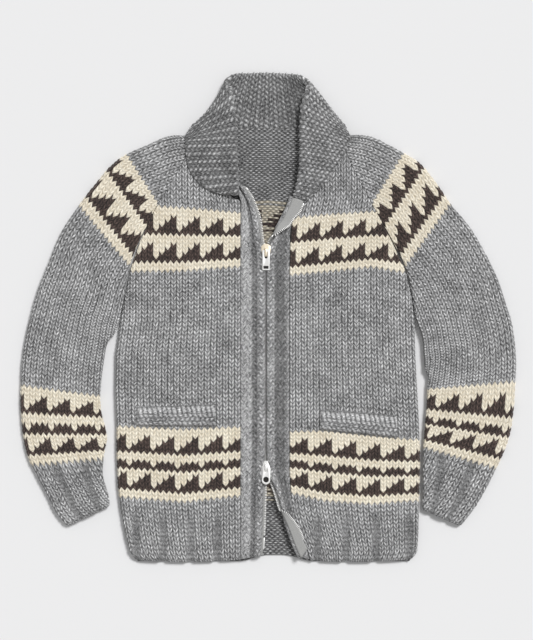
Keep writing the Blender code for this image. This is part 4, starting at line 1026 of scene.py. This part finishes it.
def build_band(side):
    """A front band: garter stitch across it, on the profile of its ridge and valley."""
    s, tau, t, h = stitch_grid(0, BAND_STITCHES, BAND_LENGTH, 3, 4)
    share = s / BAND_STITCHES
    edge_y = band_rows(side, t / BAND_LENGTH)[..., 5]
    shut = smooth(edge_y, -222.0, -196.0) * smooth(-edge_y, -108.0, -90.0)
    centre, _, _, normal = band_frame(side, t / BAND_LENGTH, share * (1.02 + 0.026 * shut) - 0.02)
    ridges = t * BAND_ROW / BAND_RIDGE + 0.12 * np.sin(9.0 * share)
    loops = garter_height(ridges, share * BAND_WIDTH / BEAD, 0.85)
    turned = np.clip(band_rows(side, t / BAND_LENGTH)[..., 6], 0.0, 1.0)
    shape = np.interp(share, *BAND_PROFILE[side]) * (1.0 - turned)
    # The loops are scaled by the profile: in the valley their colour is darker as painted shade and on the
    # ridge lighter as painted light, and their relief scales with them
    crest = (0.8 * loops + 0.2 * knit_height(s, tau, h)) * np.clip(0.98 + 0.14 * shape, 0.4, 1.2)
    full_strip = STRIP_FILL * (side == "left") * (1.0 - smooth(share, 0.38, 0.48)) * np.ones(crest.shape)
    crest = crest + full_strip * (1.0 - np.clip(crest, 0.0, 1.0))
    fade = smooth(share, -0.04, 0.03) * smooth(1.0 - share, -0.02, 0.05) * end_fade(t, BAND_LENGTH)
    outer = centre + normal * (WALL / 2.0 + shape + 2.2 * (crest * fade - 0.55))[..., None]
    inner = centre - normal * (WALL / 2.0 - 0.2)
    return make_shell("band_" + side + "_knit", outer, inner, 1, s, tau, crest, None, (KNIT_WOOL,),
                      side == "left", 0.4 + 0.5 * loops)


for side in ("left", "right"):
    band = build_band(side)
    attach(band, "garment")
    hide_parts("band_" + side)

# Pocket welts
# A strip of garter stitch along each pocket opening, sewn down at its ends and lower edge. Its top
# edge stands a little proud of the front, with the dark slit of the pocket above it.

# Inner end: x, top, bottom; outer end: x, top, bottom
WELTS = {"left": (-84.0, -135.5, -172.0, -211.0, -140.5, -171.0),
         "right": (82.0, -145.0, -177.0, 206.0, -153.5, -190.0)}
WELT_RISE = 4.5
WELT_RELIEF = 1.6
WELT_RIDGES = 2.6     # garter ridges from its lower edge to its top


def build_welt(side):
    """A welt: a strip of the front's surface raised by its own thickness, rounded along its edges."""
    inner_x, inner_top, inner_bottom, outer_x, outer_top, outer_bottom = WELTS[side]
    beads = abs(outer_x - inner_x) / BEAD
    steps = np.linspace(0.0, beads, int(beads * 6) + 1)
    b, a = np.meshgrid(steps, np.linspace(0.0, WELT_RIDGES, 27), indexing="xy")
    across = b / beads if side == "left" else 1.0 - b / beads
    down = 1.0 - a / WELT_RIDGES
    x = outer_x + (inner_x - outer_x) * across
    top = outer_top + (inner_top - outer_top) * across
    bottom = outer_bottom + (inner_bottom - outer_bottom) * across
    y = top + (bottom - top) * down
    base = top_height(x, y) + 0.3
    loops = np.abs(np.sin(math.pi * (b + 0.35 * a))) ** 0.6 * np.exp(-((a - 2.05) / 0.5) ** 4)
    crest = np.maximum(garter_height(a + 0.1 + 0.5, b, 0.9) * smooth(a, 1.75, 1.5), 0.95 * loops)
    rounded = 1.0 - np.abs(2.0 * down - 1.0) ** 6
    ends = smooth(np.minimum(b, beads - b), 0.0, 0.5)
    rise = (WELT_RISE - 1.2) * rounded * (0.4 + 0.6 * ends)
    over = np.stack([x, y, base + 0.8 + rise + WELT_RELIEF * crest * rounded * ends], axis=2)
    under = np.stack([x, y, base], axis=2)
    return make_shell("pocket_welt_" + side + "_knit", over, under, 1, b, a * 2.0, crest, None,
                      (KNIT_WOOL,), False)


for side in ("left", "right"):
    welt = build_welt(side)
    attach(welt, "garment")
    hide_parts("pocket_welt_" + side)

# Zip
# A two-way metal zip. Its woven tapes are sewn behind the bands, with bead teeth clamped on their edges,
# a stop at each top end and a pin at the left one's foot. The sliders' pulls hang on small bails.

ZIP_X = -3.85         # the middle of the closed zip
TAPE_DEPTH = 3.35     # from the middle of the band to the middle of the tape
TAPE_WALL = 0.8
TAPE_DARK = (0.25, 0.25, 0.245, 1.0)
TAPE_LIGHT = (0.46, 0.46, 0.45, 1.0)
TWILL_ACROSS = 5.0    # slant of the twill's threads: turns across the tape and along it
TWILL_ALONG = 7.0


def tape_material():
    """Twill tape: a fine herringbone of threads, as colour and as bump."""
    result = bpy.data.materials.new("twill_tape")
    result.use_nodes = True
    tree = result.node_tree
    shader = tree.nodes["Principled BSDF"]
    shader.inputs["Roughness"].default_value = 0.75
    shader.inputs["Sheen Weight"].default_value = 0.2
    place = tree.nodes.new("ShaderNodeUVMap")
    place.uv_map = "stitches"
    parts = new_node(tree, "ShaderNodeSeparateXYZ", Vector=place.outputs[0])
    fold = math_node(tree, "PINGPONG", parts.outputs[0], 2.0)
    across = math_node(tree, "MULTIPLY", fold, TWILL_ACROSS)
    along = math_node(tree, "MULTIPLY", parts.outputs[1], TWILL_ALONG)
    slant = math_node(tree, "ADD", across, along)
    thread = math_node(tree, "MULTIPLY_ADD", math_node(tree, "SINE", slant), 0.5)
    thread.node.inputs[2].default_value = 0.5
    blend = tree.nodes.new("ShaderNodeMix")
    blend.data_type = "RGBA"
    tree.links.new(thread, blend.inputs[0])
    blend.inputs[6].default_value = TAPE_DARK
    blend.inputs[7].default_value = TAPE_LIGHT
    tree.links.new(blend.outputs[2], shader.inputs["Base Color"])
    bump = new_node(tree, "ShaderNodeBump", Strength=0.4, Distance=0.0003, Height=thread)
    tree.links.new(bump.outputs[0], shader.inputs["Normal"])
    return result


# Colour of the dark patches on metal: painted shadow on the sliders, and the dark floor of the pull's recess
DARK_PATCH_COLOUR = (0.012, 0.011, 0.010, 1.0)
METAL_SHARE = 0.45


def metal_material(name, colour, roughness):
    """Plated metal with a faint unevenness of polish; the attribute "painted_shadow_and_dark_floor" marks its
    dark
    patches: painted shadow on the sliders, and a dark floor in the pull's small recess.
    """
    result = bpy.data.materials.new(name)
    result.use_nodes = True
    tree = result.node_tree
    shader = tree.nodes["Principled BSDF"]
    coords = tree.nodes.new("ShaderNodeTexCoord")
    polish = new_node(tree, "ShaderNodeTexNoise", Vector=coords.outputs["Object"], Scale=700.0, Detail=2.0)
    uneven = math_node(tree, "MULTIPLY_ADD", polish.outputs["Fac"], 0.2)
    uneven.node.inputs[2].default_value = roughness - 0.1
    painted_shadow_and_dark_floor = tree.nodes.new("ShaderNodeAttribute")
    painted_shadow_and_dark_floor.attribute_name = "painted_shadow_and_dark_floor"
    blend = tree.nodes.new("ShaderNodeMix")
    blend.data_type = "RGBA"
    tree.links.new(painted_shadow_and_dark_floor.outputs["Fac"], blend.inputs[0])
    blend.inputs[6].default_value = (*colour, 1.0)
    blend.inputs[7].default_value = DARK_PATCH_COLOUR
    tree.links.new(blend.outputs[2], shader.inputs["Base Color"])
    bare = math_node(tree, "SUBTRACT", 1.0, painted_shadow_and_dark_floor.outputs["Fac"])
    tree.links.new(math_node(tree, "MULTIPLY", bare, METAL_SHARE), shader.inputs["Metallic"])
    tree.links.new(uneven, shader.inputs["Roughness"])
    return result


TWILL = tape_material()
SILVER = metal_material("bright_metal", (0.99, 0.985, 0.97), 0.34)
GOLD = metal_material("warm_metal", (0.95, 0.84, 0.66), 0.36)


def open_reach(side, v):
    """How far the tape stands out past the band where the zip is open. It is 0 where it is closed."""
    edge = band_rows(side, v)[..., 4]
    return np.clip(np.abs(edge - ZIP_X) - 1.6, 0.0, 2.4)


def build_tape(side):
    """A zip tape: a thin flat strip on the wrong side of the band's turned part."""
    v, c = np.meshgrid(np.linspace(0.0, 1.0, 241), np.linspace(0.0, 1.0, 7), indexing="ij")
    flap = band_point(band_rows(side, v), np.full(v.shape, 0.5))[1]
    b = 1.0 - flap * (1.0 - c)
    centre, across, _, out = band_frame(side, v, b)
    centre = centre + across * (c * open_reach(side, v))[..., None]
    over = centre - out * (TAPE_DEPTH + TAPE_WALL / 2.0)
    under = centre - out * (TAPE_DEPTH - TAPE_WALL / 2.0)
    crest = np.ones(v.shape)
    return make_shell("zip_tape_" + side, over, under, 1, c * 8.0, v * 575.0, crest, None, (TWILL,),
                      side == "right")


TOOTH_PITCH = 2.6
# Rings of a tooth from the tape outwards: distance past the band's edge, half its width along the tape,
# and half its depth
TOOTH_RINGS = ((-1.0, 0.45, 0.5), (-0.7, 0.88, 0.95), (1.5, 0.88, 1.0), (2.6, 0.74, 0.85), (2.9, 0.34, 0.4))
TOOTH_SIDES = 6
TOOTH_DEPTH = 3.9
TEETH_TOP = 8.0
TEETH_END = {"left": 0.0515, "right": 0.024}


def bars(name, places, across, along, out, rings, finish):
    """One mesh of small rounded bars, all of one form: rings of points one after another, closed at
    both ends."""
    rings = np.array(rings)
    turn = np.arange(TOOTH_SIDES) * 2.0 * math.pi / TOOTH_SIDES + math.pi / TOOTH_SIDES
    reach = np.repeat(rings[:, 0], TOOTH_SIDES)
    width = (rings[:, 1:2] * np.cos(turn)).ravel()
    depth = (rings[:, 2:3] * np.sin(turn)).ravel()
    points = (places[:, None] + across[:, None] * reach[None, :, None] + along[:, None] * width[None, :, None]
              + out[:, None] * depth[None, :, None])
    ring, corner = np.meshgrid(np.arange(len(rings) - 1), np.arange(TOOTH_SIDES), indexing="ij")
    low = ring * TOOTH_SIDES
    after = (corner + 1) % TOOTH_SIDES
    corners = [low + corner, low + after, low + TOOTH_SIDES + after, low + TOOTH_SIDES + corner]
    sides = np.stack(corners, axis=-1).reshape(-1, 4)
    start = np.arange(len(places))[:, None, None] * points.shape[1]
    sides = (sides[None] + start).reshape(-1, 4)
    last = (len(rings) - 1) * TOOTH_SIDES
    ends = np.stack([np.arange(TOOTH_SIDES)[::-1], last + np.arange(TOOTH_SIDES)])
    ends = (ends[None] + start).reshape(-1, TOOTH_SIDES)
    handed = np.einsum("ij,ij->i", np.cross(across, along), out)
    if handed[0] < 0.0:
        sides = sides[:, ::-1]
        ends = ends[:, ::-1]
    mesh = bpy.data.meshes.new(name)
    mesh.from_pydata((points.reshape(-1, 3) * 0.001).tolist(), [], sides.tolist() + ends.tolist())
    mesh.polygons.foreach_set("use_smooth", np.ones(len(mesh.polygons), dtype=bool))
    mesh.materials.append(finish)
    result = bpy.data.objects.new(name, mesh)
    bpy.context.scene.collection.objects.link(result)
    return result


def build_teeth(side):
    """The teeth of one half, at even steps along the tape's edge. Where the zip is closed, the right half's
    teeth lie between the left half's."""
    v = np.linspace(0.0, 1.0, 2401)
    edge = band_frame(side, v, np.ones(v.shape))[0]
    length = np.concatenate([[0.0], np.cumsum(np.linalg.norm(np.diff(edge, axis=0), axis=1))])
    middle = np.interp(0.0, edge[:, 1], length)
    offset = 0.0 if side == "left" else 0.5
    first = math.ceil((length[-1] * TEETH_END[side] - middle) / TOOTH_PITCH)
    last = math.floor((length[-1] - TEETH_TOP - middle) / TOOTH_PITCH)
    places = np.interp(middle + (np.arange(first, last + 1) + offset) * TOOTH_PITCH, length, v)
    centre, across, along, out = band_frame(side, places, np.ones(places.shape))
    centre = centre + across * open_reach(side, places)[:, None] - out * TOOTH_DEPTH
    return bars("zip_teeth_" + side, centre, across, along, out, TOOTH_RINGS, SILVER)


def metal_part(node_name, body, finish, rounding, shade_below=None, shade_half=None, recess=None):
    """A metal part in the form of its CAD node, with its points merged and its edges rounded. Its top may be
    dark in places, in colour alone: a strip of painted shadow down the middle below one y, which the pull's
    opening shows, or the darkened floor of the small recess round another y."""
    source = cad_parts[node_name]
    mesh = source.data.copy()
    mesh.name = node_name + "_metal"
    form = bmesh.new()
    form.from_mesh(mesh)
    form.transform(source.matrix_world)
    bmesh.ops.remove_doubles(form, verts=form.verts, dist=0.000002)
    bmesh.ops.dissolve_limit(form, angle_limit=math.radians(1.5), verts=form.verts, edges=form.edges)
    middle_x = ZIP_X * 0.001
    if shade_below is not None:
        cuts = (((0.0, shade_below, 0.0), (0.0, 1.0, 0.0)),
                ((middle_x - shade_half, 0.0, 0.0), (1.0, 0.0, 0.0)),
                ((middle_x + shade_half, 0.0, 0.0), (1.0, 0.0, 0.0)))
        for place, way in cuts:
            everything = form.verts[:] + form.edges[:] + form.faces[:]
            bmesh.ops.bisect_plane(form, geom=everything, plane_co=place, plane_no=way)
    painted_shadow_and_dark_floor = form.faces.layers.float.new("painted_shadow_and_dark_floor")
    for face in form.faces:
        middle = face.calc_center_median()
        low = shade_below is not None and middle.y < shade_below and abs(middle.x - middle_x) < shade_half
        small = recess is not None and abs(middle.y - recess) < 0.001 and face.calc_area() < 0.00005
        face[painted_shadow_and_dark_floor] = 1.0 if face.normal.z > 0.9 and (low or small) else 0.0
    form.to_mesh(mesh)
    form.free()
    mesh.materials.clear()
    mesh.materials.append(finish)
    mesh.polygons.foreach_set("use_smooth", np.ones(len(mesh.polygons), dtype=bool))
    part = bpy.data.objects.new(node_name + "_metal", mesh)
    bpy.context.scene.collection.objects.link(part)
    edges = part.modifiers.new("rounded_edges", "BEVEL")
    edges.width = rounding * 0.001
    edges.segments = 2
    edges.limit_method = "ANGLE"
    edges.angle_limit = math.radians(28.0)
    edges.harden_normals = True
    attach(part, body)
    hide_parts(node_name)
    return part


# Pin and stops: the half, the height of its middle, half its length along the tape, half its width
END_PIECES = {"zip_pin": ("left", -359.5, 9.5, 1.4), "zip_stop_left": ("left", 209.5, 2.6, 1.7),
              "zip_stop_right": ("right", 184.5, 2.6, 1.7)}


def build_end_piece(name, side, middle_y, half, wide):
    """The pin at the foot of the left half, or the stop at the top of a half: a bar along the tape's edge."""
    steps = np.linspace(0.0, 1.0, 2401)
    v = np.interp(np.array([middle_y]), band_rows(side, steps)[:, 5], steps)
    centre, across, along, out = band_frame(side, v, np.ones(1))
    centre = centre + across * (open_reach(side, v)[:, None] + 1.2) - out * TOOTH_DEPTH
    rings = ((-half, 0.5 * wide, 0.5), (-half + 0.7, wide, 1.0), (half - 0.7, wide, 1.0),
             (half, 0.5 * wide, 0.5))
    return bars(name, centre, along, -across, out, rings, SILVER)


for name, form in END_PIECES.items():
    end_piece = build_end_piece(name, *form)
    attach(end_piece, "garment")
for side in ("left", "right"):
    tape = build_tape(side)
    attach(tape, "garment")
    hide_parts("zip_half_" + side)
    teeth = build_teeth(side)
    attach(teeth, "garment")

# Painted shadow on both sliders: a dark strip on the top, where the pull's opening shows it
metal_part("slider_top", "garment", GOLD, 0.3, shade_below=0.1015, shade_half=0.0022)
metal_part("slider_bottom", "garment", SILVER, 0.3, shade_below=-0.247, shade_half=0.0042)
metal_part("pull_top", "top_pull", SILVER, 0.3, recess=0.083)
metal_part("pull_bottom", "bottom_pull", SILVER, 0.3)

# Stage
# A plain pale floor, a broad soft light from the upper right and an even light from all round, and
# the camera straight above, which takes in 853 by 1024 millimetres of the floor.

floor_mesh = bpy.data.meshes.new("Floor")
floor_corners = [(-3, -3, -0.0005), (3, -3, -0.0005), (3, 3, -0.0005), (-3, 3, -0.0005)]
floor_mesh.from_pydata(floor_corners, [], [(0, 1, 2, 3)])
floor = bpy.data.objects.new("Floor", floor_mesh)
bpy.context.scene.collection.objects.link(floor)
floor_finish = bpy.data.materials.new("pale_floor")
floor_finish.use_nodes = True
floor_finish.node_tree.nodes["Principled BSDF"].inputs["Base Color"].default_value = (0.80, 0.80, 0.805, 1.0)
floor_finish.node_tree.nodes["Principled BSDF"].inputs["Roughness"].default_value = 0.9
floor_mesh.materials.append(floor_finish)

world = bpy.data.worlds.new("studio")
bpy.context.scene.world = world
world.use_nodes = True
world.node_tree.nodes["Background"].inputs["Color"].default_value = (1.0, 1.0, 1.0, 1.0)
world.node_tree.nodes["Background"].inputs["Strength"].default_value = 0.44

key_data = bpy.data.lights.new("key_light", "SUN")
key_data.energy = 2.45
key_data.angle = math.radians(16.0)
key = bpy.data.objects.new("key_light", key_data)
key.rotation_euler = (math.radians(-38.0), 0.0, math.radians(-38.0))
bpy.context.scene.collection.objects.link(key)

camera_data = bpy.data.cameras.new("camera")
camera_data.lens = 85.0
camera_data.sensor_width = 36.0
camera_data.clip_end = 20.0
camera = bpy.data.objects.new("camera", camera_data)
camera.location = (-0.0030, -0.0011, 2.43)
bpy.context.scene.collection.objects.link(camera)
bpy.context.scene.camera = camera
bpy.context.scene.view_settings.view_transform = "Standard"
